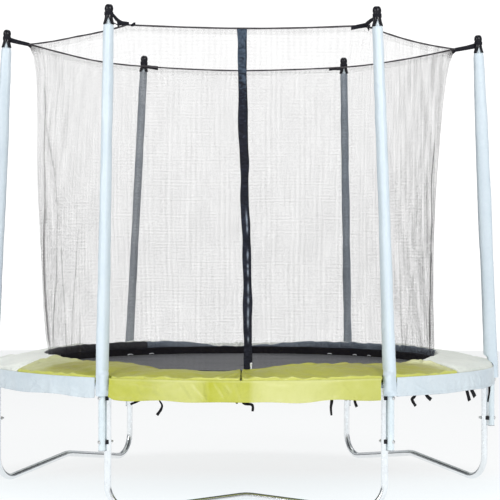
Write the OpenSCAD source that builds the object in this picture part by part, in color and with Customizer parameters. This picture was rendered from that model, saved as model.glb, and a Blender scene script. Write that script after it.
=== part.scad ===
// Round garden trampoline with six net poles, three W-shaped legs, a sprung jumping
// mat, a padded spring cover with a skirt and an inner safety net with a zipped door.
// Millimetres, +Z up, origin on the ground under the centre of the mat. -Y is the
// door side. The legs stand in pairs, so the frame repeats every 120 degrees.

/* [Frame] */
// Radius of the circle on which the leg uprights stand
leg_r = 1200; // [1150:10:1300]
// Radius of the frame rail's centre line
rail_r = 1192; // [1142:2:1292]
// Height of the frame rail's centre line
rail_z = 560; // [540:5:600]
// Outer diameter of the frame rail tube
rail_d = 38; // [34:1:40]
// Wall thickness of every steel tube
wall = 1.5; // [1:0.1:2]

/* [Legs] */
// Outer diameter of the leg tube
leg_d = 32; // [28:1:32]
// Bend radius of each foot, at the tube's centre line
foot_bend = 112; // [90:2:140]
// Rise of the base tube from each foot to mid span, in degrees
base_rise = 7.6; // [5:0.5:12]
// Bend radius of the base tube at mid span
mid_bend = 200; // [150:10:300]

/* [Poles] */
// Outer diameter of the net pole tube
pole_d = 30; // [28:1:30]
// Distance from a leg upright's axis to its pole's axis
pole_off = 34; // [34:0.5:36]
// Height of the pole's lower end
pole_z0 = 280; // [260:5:290]
// Height of the lower pole bolt
bolt_z0 = 315; // [305:5:320]
// Height of the upper pole bolt
bolt_z1 = 504; // [498:1:505]
// Height at which the pole leans inwards
bend_z = 530; // [528:1:540]
// How far the pole leans towards the centre over its height
lean_in = 62; // [40:2:80]
// Length of the leaning part up to the top of the foam sleeve
lean_len = 1588; // [1400:10:1700]
// Radial width of the foam sleeve
sleeve_w = 66; // [60:1:68]
// Tangential width of the foam sleeve
sleeve_t = 44; // [42:1:46]

/* [Jumping bed] */
// Radius of the jumping mat
mat_r = 985; // [970:1:985]
// Height of the mat's top face
mat_z = 576; // [570:1:576]
// Thickness of the mat
mat_t = 3; // [2:0.5:3]
// Number of springs on each sixth of the frame
springs_per_rail = 8; // [6:1:9]

/* [Pad] */
// Inner radius of the pad
pad_r0 = 955; // [950:1:960]
// Outer radius of the pad
pad_r1 = 1250; // [1246:1:1254]
// Height of the skirt's lower hem
skirt_z = 508; // [480:2:520]

/* [Net] */
// Radius of the net where it meets the mat
net_r0 = 943; // [930:1:943]
// Height of the net's top edge at its corners
net_top = 2135; // [2000:5:2150]
// Radius of the net's top corners
corner_r = 1050; // [1030:2:1060]
// Radius of the net's top edge halfway between two corners
mid_r = 905; // [890:1:910]
// How far the top edge sags between corners
hem_sag = 20; // [0:2:40]
// Thickness of the net wall
net_t = 2; // [1.5:0.5:3]
// Width of the door strip
strip_w = 38; // [30:1:44]

/* [Hidden] */

$fn = 64;
steel = "gainsboro";
pale = "lightsteelblue";
lime = "yellowgreen";
black = "dimgray";

// The six poles: front left, front right, right, back right, back left, left
pole_az = [240, 300, 0, 60, 120, 180];
// Sideways lean of each pole towards +X over its height
side_lean = [-7, -24, -4, 2, 52, 11];
// How far each upper pole tube stands out of its lower tube
pole_rise = [6, 3, 1, 0, 8, 18];
// Direction from each upright to its pole
off_az = [for (k = [0:5]) pole_az[k] + (k % 2 == 0 ? -15 : 15)];
px = [for (k = [0:5]) leg_r * cos(pole_az[k]) + pole_off * cos(off_az[k])];
py = [for (k = [0:5]) leg_r * sin(pole_az[k]) + pole_off * sin(off_az[k])];
lean_x = [for (k = [0:5]) -lean_in * cos(pole_az[k]) + side_lean[k]];
lean_y = [for (k = [0:5]) -lean_in * sin(pole_az[k])];
lean_az = [for (k = [0:5]) atan2(lean_y[k], lean_x[k])];
lean_a = [for (k = [0:5]) atan2(sqrt(pow(lean_x[k], 2) + pow(lean_y[k], 2)), 1592)];
pole_bend_r = 400;
joint_s = 720;      // where the upper pole tube plugs into the lower one
spigot = 60;
cap_h = 89;
cap_bore = 38;      // how far the pole stands into its cap
half_chord = leg_r / 2;
chord_y = leg_r * cos(30);
upright_top = 538;
// The tube draws down a little in each bend, and each straight runs on into it
neck = 0.15;
lap = 1.5;

// ---------- shared shapes ----------

module ring2d(r, w) {
    difference() {
        circle(r = r);
        circle(r = r - w);
    }
}

module tube(r, h, w = wall) {
    linear_extrude(height = h) ring2d(r, w);
}

// A bent tube in the XZ plane, its bend centre at the origin, from angle a0 over sweep a
module bent_tube(bend, r, a0, a, w = wall) {
    rotate([90, 0, 0]) rotate([0, 0, a0])
        rotate_extrude(angle = a, $fn = 128)
            translate([bend, 0]) ring2d(r, w, $fn = 64);
}

// Places its children in pole k's frame at the bend, leaning up the pole
module on_pole(k) {
    translate([px[k], py[k], bend_z])
        rotate([0, 0, lean_az[k]])
            rotate([0, lean_a[k], 0])
                children();
}

// Places its children at leg upright k with +X towards the pole
module at_upright(k) {
    translate([leg_r * cos(pole_az[k]), leg_r * sin(pole_az[k]), 0])
        rotate([0, 0, off_az[k]])
            children();
}

module bolt_bore(k, z, r, x0, x1) {
    at_upright(k) translate([x0, 0, z]) rotate([0, 90, 0])
        cylinder(r = r, h = x1 - x0, $fn = 32);
}

// ---------- legs ----------

module leg_side() {
    a = base_rise;
    z0 = leg_d / 2 + foot_bend;
    x1 = half_chord - foot_bend - foot_bend * sin(a);
    z1 = z0 - foot_bend * cos(a);
    x2 = mid_bend * sin(a);
    len = (x1 - x2) / cos(a);
    translate([half_chord, 0, z0 - lap]) tube(leg_d / 2, upright_top - z0 + lap);
    translate([half_chord - foot_bend, 0, z0])
        bent_tube(foot_bend, leg_d / 2 - neck, -90 - a, 90 + a);
    translate([x1, 0, z1]) rotate([0, -90 + a, 0]) translate([0, 0, -lap])
        tube(leg_d / 2, len + 2 * lap);
}

// One W-shaped leg: two uprights joined by a bent base tube. side 0 is at the door.
module w_leg(side) {
    a = base_rise;
    z0 = leg_d / 2 + foot_bend;
    x1 = half_chord - foot_bend - foot_bend * sin(a);
    z1 = z0 - foot_bend * cos(a);
    x2 = mid_bend * sin(a);
    z2 = z1 + (x1 - x2) * tan(a);
    difference() {
        rotate([0, 0, side * 120]) translate([0, -chord_y, 0]) {
            leg_side();
            mirror([1, 0, 0]) leg_side();
            translate([0, 0, z2 - mid_bend * cos(a)])
                bent_tube(mid_bend, leg_d / 2 - neck, 90 - a, 2 * a);
        }
        for (k = [0:1], z = [bolt_z0, bolt_z1])
            bolt_bore((side * 2 + k) % 6, z, 4.3, -25, 25);
    }
}

module leg_front() { color(steel) w_leg(0); }
module leg_right() { color(steel) w_leg(1); }
module leg_left() { color(steel) w_leg(2); }

// ---------- frame rail ----------

// One sixth of the rail, from the upright at azimuth a0, with its punched spring holes
module rail(a0) {
    color(steel) difference() {
        rotate([0, 0, a0 + 0.15]) translate([0, 0, rail_z])
            rotate_extrude(angle = 59.7, $fn = 144)
                translate([rail_r, 0]) ring2d(rail_d / 2, wall, $fn = 64);
        for (i = [0:springs_per_rail - 1])
            rotate([0, 0, a0 + (i + 0.5) * 60 / springs_per_rail])
                translate([rail_r - 30, 0, rail_z + 11]) rotate([0, 90, 0])
                    cylinder(r = 3.5, h = 28, $fn = 24);
    }
}

module rail_front() { rail(240); }
module rail_right_front() { rail(300); }
module rail_right_back() { rail(0); }
module rail_back() { rail(60); }
module rail_left_back() { rail(120); }
module rail_left_front() { rail(180); }

// Six T-shaped sockets: a sleeve round two rail ends and a socket for the leg upright
module leg_sockets() {
    color(steel) for (k = [0:5]) rotate([0, 0, pole_az[k]]) difference() {
        union() {
            rotate([0, 0, -3.5]) translate([0, 0, rail_z])
                rotate_extrude(angle = 7, $fn = 144)
                    translate([rail_r, 0]) circle(r = rail_d / 2 + 2.2, $fn = 64);
            translate([leg_r, 0, 520]) cylinder(r = leg_d / 2 + 1.6, h = 32);
        }
        rotate([0, 0, -5]) translate([0, 0, rail_z])
            rotate_extrude(angle = 10, $fn = 144)
                translate([rail_r, 0]) circle(r = rail_d / 2 + 0.25, $fn = 64);
        translate([leg_r, 0, 515]) cylinder(r = leg_d / 2 + 0.25, h = 23.6);
    }
}

// ---------- poles ----------

module lower_pole(k) {
    t = pole_bend_r * tan(lean_a[k] / 2);
    color("aliceblue") difference() {
        union() {
            translate([px[k], py[k], pole_z0]) tube(pole_d / 2, bend_z - t + lap - pole_z0);
            translate([px[k], py[k], bend_z - t]) rotate([0, 0, lean_az[k]])
                translate([pole_bend_r, 0, 0]) mirror([1, 0, 0])
                    bent_tube(pole_bend_r, pole_d / 2 - neck, 0, lean_a[k]);
            on_pole(k) translate([0, 0, t - lap]) tube(pole_d / 2, joint_s - t + lap);
        }
        for (z = [bolt_z0, bolt_z1])
            bolt_bore(k, z, 4.3, pole_off - 20, pole_off + 20);
    }
}

module pole_fl() { lower_pole(0); }
module pole_fr() { lower_pole(1); }
module pole_r() { lower_pole(2); }
module pole_br() { lower_pole(3); }
module pole_bl() { lower_pole(4); }
module pole_l() { lower_pole(5); }

// The six upper tubes, each with a reduced spigot that plugs into the lower tube
module upper_poles() {
    color("aliceblue") for (k = [0:5]) on_pole(k) translate([0, 0, pole_rise[k]]) difference() {
        union() {
            translate([0, 0, joint_s])
                cylinder(r = pole_d / 2, h = lean_len + cap_bore - joint_s);
            translate([0, 0, joint_s - spigot])
                cylinder(r = pole_d / 2 - wall - 0.1, h = spigot + 5);
        }
        translate([0, 0, joint_s - spigot - 1])
            cylinder(r = pole_d / 2 - 2 * wall, h = spigot + 10);
        translate([0, 0, joint_s + 6])
            cylinder(r = pole_d / 2 - wall, h = lean_len - joint_s + cap_bore);
    }
}

// Foam sleeve round the pole, flattened where it presses on the frame
module sleeve(k) {
    w = sleeve_w / 2 - sleeve_t / 2;
    color(pale) difference() {
        on_pole(k) rotate([0, 0, pole_az[k] - lean_az[k]])
            translate([0, 0, -16]) linear_extrude(height = lean_len + pole_rise[k] + 15)
                union() {
                    translate([w, 0]) circle(r = sleeve_t / 2);
                    translate([-w, 0]) circle(r = sleeve_t / 2);
                    square([2 * w, sleeve_t], center = true);
                }
        on_pole(k) translate([0, 0, -30]) cylinder(r = pole_d / 2 + 1.5, h = lean_len + 90);
        translate([0, 0, 490]) cylinder(r = rail_r + 27, h = 126, $fn = 144);
    }
}

module sleeve_fl() { sleeve(0); }
module sleeve_fr() { sleeve(1); }
module sleeve_r() { sleeve(2); }
module sleeve_br() { sleeve(3); }
module sleeve_bl() { sleeve(4); }
module sleeve_l() { sleeve(5); }

// Domed plastic cap with a waist and a flared foot
module cap(k) {
    color(black) on_pole(k) translate([0, 0, lean_len + pole_rise[k]]) difference() {
        rotate_extrude($fn = 64) polygon([
            [0, 0], [24, 0], [24, 5], [21, 16], [18.6, 27], [17.4, 40], [17.2, 56],
            [18.6, 62], [19.2, 69], [17.8, 78], [13.6, 85], [7, 88.4], [0, cap_h]
        ]);
        translate([0, 0, -1]) cylinder(r = pole_d / 2 + 0.1, h = cap_bore + 1);
    }
}

module cap_fl() { cap(0); }
module cap_fr() { cap(1); }
module cap_r() { cap(2); }
module cap_br() { cap(3); }
module cap_bl() { cap(4); }
module cap_l() { cap(5); }

// Plastic plugs in the poles' lower ends
module pole_end_plugs() {
    color("lightgray") for (k = [0:5]) translate([px[k], py[k], pole_z0]) {
        translate([0, 0, -4]) cylinder(r = pole_d / 2 + 0.6, h = 3.9);
        translate([0, 0, -1]) cylinder(r = pole_d / 2 - wall - 0.1, h = 16);
    }
}

// Saddle-shaped spacers between each pole and its upright
module pole_spacers() {
    color(black) for (k = [0:5], z = [bolt_z0, bolt_z1]) at_upright(k) difference() {
        translate([9, -17, z - 9]) cube([pole_off - 18, 34, 18]);
        translate([0, 0, z - 20]) cylinder(r = leg_d / 2 + 0.1, h = 40);
        translate([pole_off, 0, z - 20]) cylinder(r = pole_d / 2 + 0.1, h = 40);
        translate([0, 0, z]) rotate([0, 90, 0]) cylinder(r = 4.3, h = pole_off, $fn = 32);
    }
}

// Pole bolts, each through the upright, the spacer and the pole
module pole_bolts() {
    color("silver") for (k = [0:5], z = [bolt_z0, bolt_z1]) at_upright(k)
        translate([0, 0, z]) rotate([0, 90, 0]) {
            translate([0, 0, -30]) cylinder(r = 4, h = 30 + pole_off + pole_d / 2 + 2, $fn = 32);
            translate([0, 0, pole_off + pole_d / 2 + 0.1]) cylinder(r = 8, h = 5, $fn = 32);
        }
}

module pole_nuts() {
    color("silver") for (k = [0:5], z = [bolt_z0, bolt_z1]) at_upright(k)
        translate([-leg_d / 2 - 8.2, 0, z]) rotate([0, 90, 0]) difference() {
            cylinder(r = 7.5, h = 7, $fn = 6);
            translate([0, 0, -1]) cylinder(r = 4.1, h = 9, $fn = 32);
        }
}

// ---------- jumping bed ----------

module mat() {
    color(black) translate([0, 0, mat_z - mat_t]) {
        cylinder(r = net_r0 - 7, h = mat_t, $fn = 144);
        cylinder(r = mat_r, h = mat_t - 0.4, $fn = 144);
    }
}

// Webbing sewn under the mat's edge
module mat_webbing() {
    color(black) translate([0, 0, mat_z - mat_t - 4])
        linear_extrude(height = 4) ring2d(mat_r + 1, 36, $fn = 144);
}

// Triangular wire rings whose bars are sewn into the webbing
module v_rings() {
    color("silver") for (i = [0:6 * springs_per_rail - 1])
        rotate([0, 0, (i + 0.5) * 60 / springs_per_rail])
            translate([0, 0, mat_z - mat_t - 3.6]) linear_extrude(height = 3.2)
                difference() {
                    polygon([[mat_r - 9, -16], [mat_r - 9, 16],
                             [mat_r + 25, 3.2], [mat_r + 25, -3.2]]);
                    polygon([[mat_r - 5.4, -11], [mat_r - 5.4, 11],
                             [mat_r + 21, 1.4], [mat_r + 21, -1.4]]);
                }
}

// Coil springs from the V-rings to the rail, as plain rods of their outer size
module springs() {
    color("silver") for (i = [0:6 * springs_per_rail - 1])
        rotate([0, 0, (i + 0.5) * 60 / springs_per_rail])
            translate([0, 0, rail_z + 11]) rotate([0, 90, 0]) {
                translate([0, 0, mat_r + 26]) cylinder(r = 2.2, h = rail_r - mat_r - 36, $fn = 16);
                translate([0, 0, mat_r + 38]) cylinder(r = 8, h = 128, $fn = 24);
            }
}

// ---------- pad ----------

// Straight-sided notch that lets pole k through the pad and skirt
module pole_notch(k) {
    rotate([0, 0, pole_az[k]])
        translate([rail_r + 20, (k % 2 == 0 ? -9 : 9) - sleeve_t / 2 - 4, 480])
            cube([100, sleeve_t + 8, 160]);
}

// Seams between neighbouring pads: their azimuths at the pad's inner and outer edge
seams = [[203.5, 214.3], [268.8, 268.7], [325.4, 320], [30, 30], [90, 90], [150, 150]];
function seam_point(i, r) = let (
        a = pad_r0 * [cos(seams[i][0]), sin(seams[i][0])],
        b = pad_r1 * [cos(seams[i][1]), sin(seams[i][1])])
    a + (b - a) * (r - pad_r0) / (pad_r1 - pad_r0);

module pad(k) {
    color(k < 2 ? lime : pale) difference() {
        intersection() {
            rotate([0, 0, pole_az[k] - 45]) rotate_extrude(angle = 90, $fn = 144)
                polygon([
                    [pad_r0, 606], [pad_r0, 643], [pad_r0 + 8, 650],
                    [pad_r0 + 145, 634], [pad_r1 - 14, 603], [pad_r1, 595],
                    [pad_r1, 585], [pad_r1 - 40, 584]
                ]);
            translate([0, 0, 570]) linear_extrude(height = 90) offset(delta = -2)
                polygon([seam_point(k, 700), seam_point(k, 1700),
                         seam_point((k + 1) % 6, 1700), seam_point((k + 1) % 6, 700)]);
        }
        pole_notch(k);
    }
}

module pad_front_left() { pad(0); }
module pad_front_right() { pad(1); }
module pad_right() { pad(2); }
module pad_back_right() { pad(3); }
module pad_back_left() { pad(4); }
module pad_left() { pad(5); }

// Hanging skirt between pole k and the next pole round
module skirt(k) {
    color(k == 0 ? lime : pale) difference() {
        rotate([0, 0, pole_az[k] + (k == 0 ? 1.8 : 0)])
            rotate_extrude(angle = k == 0 ? 56.4 : 60, $fn = 144)
                translate([pad_r1 + 0.5, skirt_z]) square([3, 594 - skirt_z]);
        pole_notch(k);
        pole_notch((k + 1) % 6);
    }
}

module skirt_front() { skirt(0); }
module skirt_right_front() { skirt(1); }
module skirt_right_back() { skirt(2); }
module skirt_back() { skirt(3); }
module skirt_left_back() { skirt(4); }
module skirt_left_front() { skirt(5); }

// ---------- net ----------

net_z0 = mat_z + 36.5;
az_n = 72;
rows = 12;
// Net radius at its corner lines, by height
corner_table = [
    [net_z0, net_r0], [750, 950], [930, 956], [1145, 964], [1430, 978],
    [1650, 990], [1860, 999], [1990, 1010], [2065, 1024], [net_top, corner_r]
];
// Sideways shift of the hanging net towards +X at its left and right, by height
drift_table = [
    [net_z0, 0], [720, -12], [870, -20], [1020, -21], [1200, -25],
    [1400, -24], [1600, -18], [1850, -8], [1980, -1], [net_top, 0]
];
function drift(a, t) = lookup(net_z0 + (net_top - net_z0) * t, drift_table) * pow(cos(a), 2);
function fold30(a) = abs(a - 60 * round(a / 60 - 0.5) - 30);
function hexness(a) = (1 / cos(fold30(a)) - 1) / (1 / cos(30) - 1);
function roundness(a) = (1 - cos(6 * fold30(a))) / 2;
function gather(a, t) = t * t * hexness(a) + (1 - t * t) * roundness(a);
function mid_radius(t) = net_r0 + (mid_r - net_r0) * t;
// Height of each corner above net_top, and the sag of each span as a share of hem_sag
corner_rise = [[0, 0], [60, 0], [120, 4], [180, 15], [240, -4], [300, -2], [360, 0]];
span_sag = [[0, 0.7], [30, 0.7], [90, 1], [150, 1], [180, 0.7], [210, 0.35], [240, 0.6], [270, 0.7], [360, 0.7]];
function corner_z(a) = net_top + lookup(a, corner_rise);
function top_z(a) = corner_z(a) - hem_sag * lookup(a, span_sag) * (1 - hexness(a));
function row_z(a, t) = net_z0 + (top_z(a) - net_z0) * t;
function net_radius(a, t) = mid_radius(t)
    + (lookup(net_z0 + (net_top - net_z0) * t, corner_table) - mid_radius(t)) * gather(a, t);
// Rows crowd towards the top, where the net flares out to its corners
function row_t(j) = 1 - pow(1 - j / rows, 1.4);
function net_point(i, j, d) = let (a = i * 360 / az_n, t = row_t(j), r = net_radius(a, t) + d)
    [r * cos(a) + drift(a, t), r * sin(a), row_z(a, t)];

module net() {
    n = az_n;
    m = rows + 1;
    outer = [for (j = [0:rows], i = [0:n - 1]) net_point(i, j, net_t / 2)];
    inner = [for (j = [0:rows], i = [0:n - 1]) net_point(i, j, -net_t / 2)];
    o = n * m;
    color(black, 0.4) polyhedron(concat(outer, inner), concat(
        [for (j = [0:rows - 1], i = [0:n - 1])
            [j * n + i, (j + 1) * n + i, (j + 1) * n + (i + 1) % n, j * n + (i + 1) % n]],
        [for (j = [0:rows - 1], i = [0:n - 1])
            [o + j * n + i, o + j * n + (i + 1) % n, o + (j + 1) * n + (i + 1) % n, o + (j + 1) * n + i]],
        [for (i = [0:n - 1]) [i, (i + 1) % n, o + (i + 1) % n, o + i]],
        [for (i = [0:n - 1]) [rows * n + i, o + rows * n + i, o + rows * n + (i + 1) % n, rows * n + (i + 1) % n]]
    ));
}

// Solid fabric border that joins the net to the mat
module net_border() {
    color(black) translate([0, 0, mat_z - 0.2])
        linear_extrude(height = 36.2) ring2d(net_r0 + 1, net_t, $fn = 144);
}

// Tube of radius r along a list of points; closed joins its two ends
module swept(pts, r, sides, closed) {
    n = len(pts);
    function dir(i) = let (
            a = closed ? pts[(i + n - 1) % n] : pts[max(i - 1, 0)],
            b = closed ? pts[(i + 1) % n] : pts[min(i + 1, n - 1)])
        (b - a) / norm(b - a);
    function side_of(d) = let (u = abs(d[2]) > 0.9 ? [1, 0, 0] : [0, 0, 1], c = cross(d, u))
        c / norm(c);
    ring = [for (i = [0:n - 1], s = [0:sides - 1])
        let (d = dir(i), e = side_of(d), f = cross(e, d), a = s * 360 / sides)
        pts[i] + r * (e * cos(a) + f * sin(a))];
    last = closed ? n - 1 : n - 2;
    walls = [for (i = [0:last], s = [0:sides - 1])
        [i * sides + s, i * sides + (s + 1) % sides,
         ((i + 1) % n) * sides + (s + 1) % sides, ((i + 1) % n) * sides + s]];
    ends = closed ? [] : [
        [for (s = [sides - 1:-1:0]) s],
        [for (s = [0:sides - 1]) (n - 1) * sides + s]];
    polyhedron(ring, concat(walls, ends));
}

// Cord in the net's top hem
module net_top_cord() {
    color(black) swept([for (i = [0:az_n - 1]) let (a = i * 360 / az_n, r = net_radius(a, 1))
        [r * cos(a), r * sin(a), row_z(a, 1) + 4.4]], 4, 8, true);
}

// Webbing straps that loop round the caps and hold the net's top corners
module corner_straps() {
    color(black) for (k = [0:5]) {
        s = lean_len + pole_rise[k] + 47;
        ax = px[k] + s * sin(lean_a[k]) * cos(lean_az[k]);
        ay = py[k] + s * sin(lean_a[k]) * sin(lean_az[k]);
        az = bend_z + s * cos(lean_a[k]);
        dx = (corner_r + 4) * cos(pole_az[k]) - ax;
        dy = (corner_r + 4) * sin(pole_az[k]) - ay;
        dz = corner_z(pole_az[k]) + 4 - az;
        flat = sqrt(dx * dx + dy * dy);
        translate([ax, ay, az]) rotate([0, 0, atan2(dy, dx)])
            rotate([0, -atan2(dz, flat), 0])
                translate([20.2, -1.5, -8]) cube([norm([dx, dy, dz]) - 20.6, 3, 16]);
        on_pole(k) translate([0, 0, s - 8]) difference() {
            cylinder(r = 20.8, h = 16);
            translate([0, 0, -1]) cylinder(r = 17.9, h = 18);
        }
    }
}

// ---------- door ----------

door_a = [8, -(net_r0 + 2.4), net_z0 + 3];
door_b = [-17, -(mid_r + 2.4), net_top - 25];
door_d = (door_b - door_a) / norm(door_b - door_a);

module on_door() {
    translate(door_a)
        rotate([-asin(door_d[1]), atan2(door_d[0], door_d[2]), 0])
            children();
}

// Reinforcing strip down the door opening, with the zip sewn along it
module door_strip() {
    color(black) on_door() translate([-strip_w / 2, -1.2, 0])
        cube([strip_w, 2.4, norm(door_b - door_a)]);
}

module zip_slider() {
    color("silver") on_door() translate([14, -1.6, 20]) difference() {
        translate([-5, -4, 0]) cube([10, 4, 14]);
        translate([-2, -5, 11]) cube([4, 3, 2]);
    }
}

module zip_pull() {
    color("white") on_door() translate([10.5, -7, 4]) cube([7, 1.4, 25]);
}

// ---------- pad ties ----------

tie_d = 8;
// Each tie's route as [azimuth, height], from the pad's underside to its free end
tie_routes = [
    [[249.5, 583], [249.5, 540], [248.6, 508], [246.3, 485]],
    [[252.2, 583], [252.2, 540], [252.4, 508], [253, 486], [252.8, 467], [252, 443]],
    [[267.9, 583], [267.9, 540], [267.9, 500]],
    [[269.3, 583], [269.3, 540], [269.2, 500], [270.9, 491], [271, 464]],
    [[282.3, 583], [282.3, 540], [282.3, 500]],
    [[287, 583], [287, 540], [286.9, 500], [286.7, 474], [286.8, 442]],
    [[291.8, 583], [291.8, 540], [291.9, 498], [292.3, 474]],
    [[306.9, 583], [306.9, 540], [306.5, 507], [305.8, 496], [306, 483], [306.7, 464]],
    [[309.6, 583], [309.6, 540], [309.9, 508], [311.2, 486]],
    [[324.3, 583], [324.3, 540], [324.4, 512], [325.4, 461]],
    [[326, 583], [326, 540], [326.4, 516], [328.2, 475]],
    [[338.7, 583], [338.7, 540], [338.7, 520], [338.2, 481], [336.4, 438]]
];
tie_steps = 5;

// Smooth curve through four route points, u running from the second to the third
function spline(a, b, c, d, u) = (2 * b + (c - a) * u + (2 * a - 5 * b + 4 * c - d) * u * u
    + (3 * b - a - 3 * c + d) * u * u * u) / 2;
function tie_at(route, i, u) = let (n = len(route) - 1)
    spline(route[max(i - 1, 0)], route[i], route[i + 1], route[min(i + 2, n)], u);
function tie_point(p) = let (r = 1232 + 8 * (583 - p[1]) / 140)
    [r * cos(p[0]), r * sin(p[0]), p[1]];

// Elastic ties that hang from the pad's underside below the skirt
module pad_ties() {
    color(black) for (route = tie_routes) swept(concat(
        [for (i = [0:len(route) - 2], j = [0:tie_steps - 1])
            tie_point(tie_at(route, i, j / tie_steps))],
        [tie_point(route[len(route) - 1])]), tie_d / 2, 8, false);
}

leg_front();
leg_left();
leg_right();
rail_front();
rail_right_front();
rail_right_back();
rail_back();
rail_left_back();
rail_left_front();
leg_sockets();
pole_fl();
pole_fr();
pole_r();
pole_br();
pole_bl();
pole_l();
upper_poles();
sleeve_fl();
sleeve_fr();
sleeve_r();
sleeve_br();
sleeve_bl();
sleeve_l();
cap_fl();
cap_fr();
cap_r();
cap_br();
cap_bl();
cap_l();
pole_end_plugs();
pole_spacers();
pole_bolts();
pole_nuts();
mat();
mat_webbing();
v_rings();
springs();
pad_front_left();
pad_front_right();
pad_right();
pad_back_right();
pad_back_left();
pad_left();
skirt_front();
skirt_right_front();
skirt_right_back();
skirt_back();
skirt_left_back();
skirt_left_front();
net();
net_border();
net_top_cord();
corner_straps();
door_strip();
zip_slider();
zip_pull();
pad_ties();
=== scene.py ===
import math

import bpy
import numpy as np
from mathutils import Matrix, Vector


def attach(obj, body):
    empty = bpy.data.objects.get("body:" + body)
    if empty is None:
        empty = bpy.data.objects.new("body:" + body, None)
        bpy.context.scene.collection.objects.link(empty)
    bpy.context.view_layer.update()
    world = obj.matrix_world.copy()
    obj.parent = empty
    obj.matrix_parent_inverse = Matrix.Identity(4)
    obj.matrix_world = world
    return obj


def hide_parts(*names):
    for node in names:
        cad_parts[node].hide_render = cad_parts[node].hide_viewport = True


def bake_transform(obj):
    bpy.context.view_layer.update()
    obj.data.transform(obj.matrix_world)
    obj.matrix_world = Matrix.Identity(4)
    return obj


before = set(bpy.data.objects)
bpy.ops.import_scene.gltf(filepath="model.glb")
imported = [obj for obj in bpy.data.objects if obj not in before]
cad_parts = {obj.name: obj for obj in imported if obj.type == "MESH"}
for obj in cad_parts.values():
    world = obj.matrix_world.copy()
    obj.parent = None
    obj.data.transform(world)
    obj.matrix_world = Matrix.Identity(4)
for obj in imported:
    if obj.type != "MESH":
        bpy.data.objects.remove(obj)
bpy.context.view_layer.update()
scene = bpy.context.scene
scene.view_settings.view_transform = "Standard"
scene.view_settings.look = "None"

# ------------------------------------------------------------------ shared sizes, metres
POLE_AZ = [240, 300, 0, 60, 120, 180]
NAMES = ["fl", "fr", "r", "br", "bl", "l"]
SIDE_LEAN = [-0.007, -0.024, -0.004, 0.002, 0.052, 0.011]
POLE_RISE = [0.006, 0.003, 0.001, 0.0, 0.008, 0.018]
LEG_R, RAIL_R, RAIL_Z = 1.200, 1.192, 0.560
POLE_OFF, BEND_Z, LEAN_LEN = 0.034, 0.530, 1.588
MAT_R, MAT_Z, MAT_T = 0.985, 0.576, 0.003
NET_Z0, NET_R0, NET_TOP, CORNER_R, MID_R, HEM_SAG = 0.6125, 0.943, 2.135, 1.050, 0.905, 0.020
TAU = 2 * math.pi


def d2r(a):
    return a * math.pi / 180


def pole_frame(k):
    """Matrix whose origin is pole k's bend, +Z up the pole, +X outwards, +Y along the rim."""
    off = POLE_AZ[k] + (-15 if k % 2 == 0 else 15)
    px = LEG_R * math.cos(d2r(POLE_AZ[k])) + POLE_OFF * math.cos(d2r(off))
    py = LEG_R * math.sin(d2r(POLE_AZ[k])) + POLE_OFF * math.sin(d2r(off))
    lx = -0.062 * math.cos(d2r(POLE_AZ[k])) + SIDE_LEAN[k]
    ly = -0.062 * math.sin(d2r(POLE_AZ[k]))
    az, a = math.atan2(ly, lx), math.atan2(math.hypot(lx, ly), 1.592)
    return (
        Matrix.Translation((px, py, BEND_Z))
        @ Matrix.Rotation(az, 4, "Z")
        @ Matrix.Rotation(a, 4, "Y")
        @ Matrix.Rotation(d2r(POLE_AZ[k]) - az, 4, "Z")
    )


POLES = [pole_frame(k) for k in range(6)]


def fold30(a):
    return abs(a - 60 * np.floor(a / 60) - 30)


def hexness(a):
    return (1 / np.cos(np.radians(fold30(a))) - 1) / (1 / math.cos(d2r(30)) - 1)


def roundness(a):
    return (1 - np.cos(np.radians(6 * fold30(a)))) / 2


CORNER_Z = np.array([NET_Z0, 0.750, 0.930, 1.145, 1.430, 1.650, 1.860, 1.990, 2.065, NET_TOP])
CORNER_RR = np.array([NET_R0, 0.950, 0.956, 0.964, 0.978, 0.990, 0.999, 1.010, 1.024, CORNER_R])
CORNER_RISE = ([0, 60, 120, 180, 240, 300, 360], [0, 0, 0.004, 0.015, -0.004, -0.002, 0])
SPAN_SAG = ([0, 30, 90, 150, 180, 210, 240, 270, 360], [0.7, 0.7, 1, 1, 0.7, 0.35, 0.6, 0.7, 0.7])
DRIFT = ([0.6125, 0.720, 0.870, 1.020, 1.200, 1.400, 1.600, 1.850, 1.980, 2.135],
         [0, -0.012, -0.020, -0.021, -0.025, -0.024, -0.018, -0.008, -0.001, 0])


def net_radius(a, t):
    a, t = np.asarray(a, float), np.asarray(t, float)
    mid = NET_R0 + (MID_R - NET_R0) * t
    rc = np.interp(NET_Z0 + (NET_TOP - NET_Z0) * t, CORNER_Z, CORNER_RR)
    g = t * t * hexness(a) + (1 - t * t) * roundness(a)
    return mid + (rc - mid) * g


def corner_z(a):
    return NET_TOP + np.interp(np.asarray(a, float) % 360, *CORNER_RISE)


def top_z(a):
    a = np.asarray(a, float)
    return corner_z(a) - HEM_SAG * np.interp(a % 360, *SPAN_SAG) * (1 - hexness(a))


def net_z(a, t):
    return NET_Z0 + (top_z(a) - NET_Z0) * np.asarray(t, float)


def drift(a, t):
    """Sideways shift of the hanging net towards +X."""
    h = NET_Z0 + (NET_TOP - NET_Z0) * np.asarray(t, float)
    return np.interp(h, *DRIFT) * np.cos(np.radians(a)) ** 2


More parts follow.
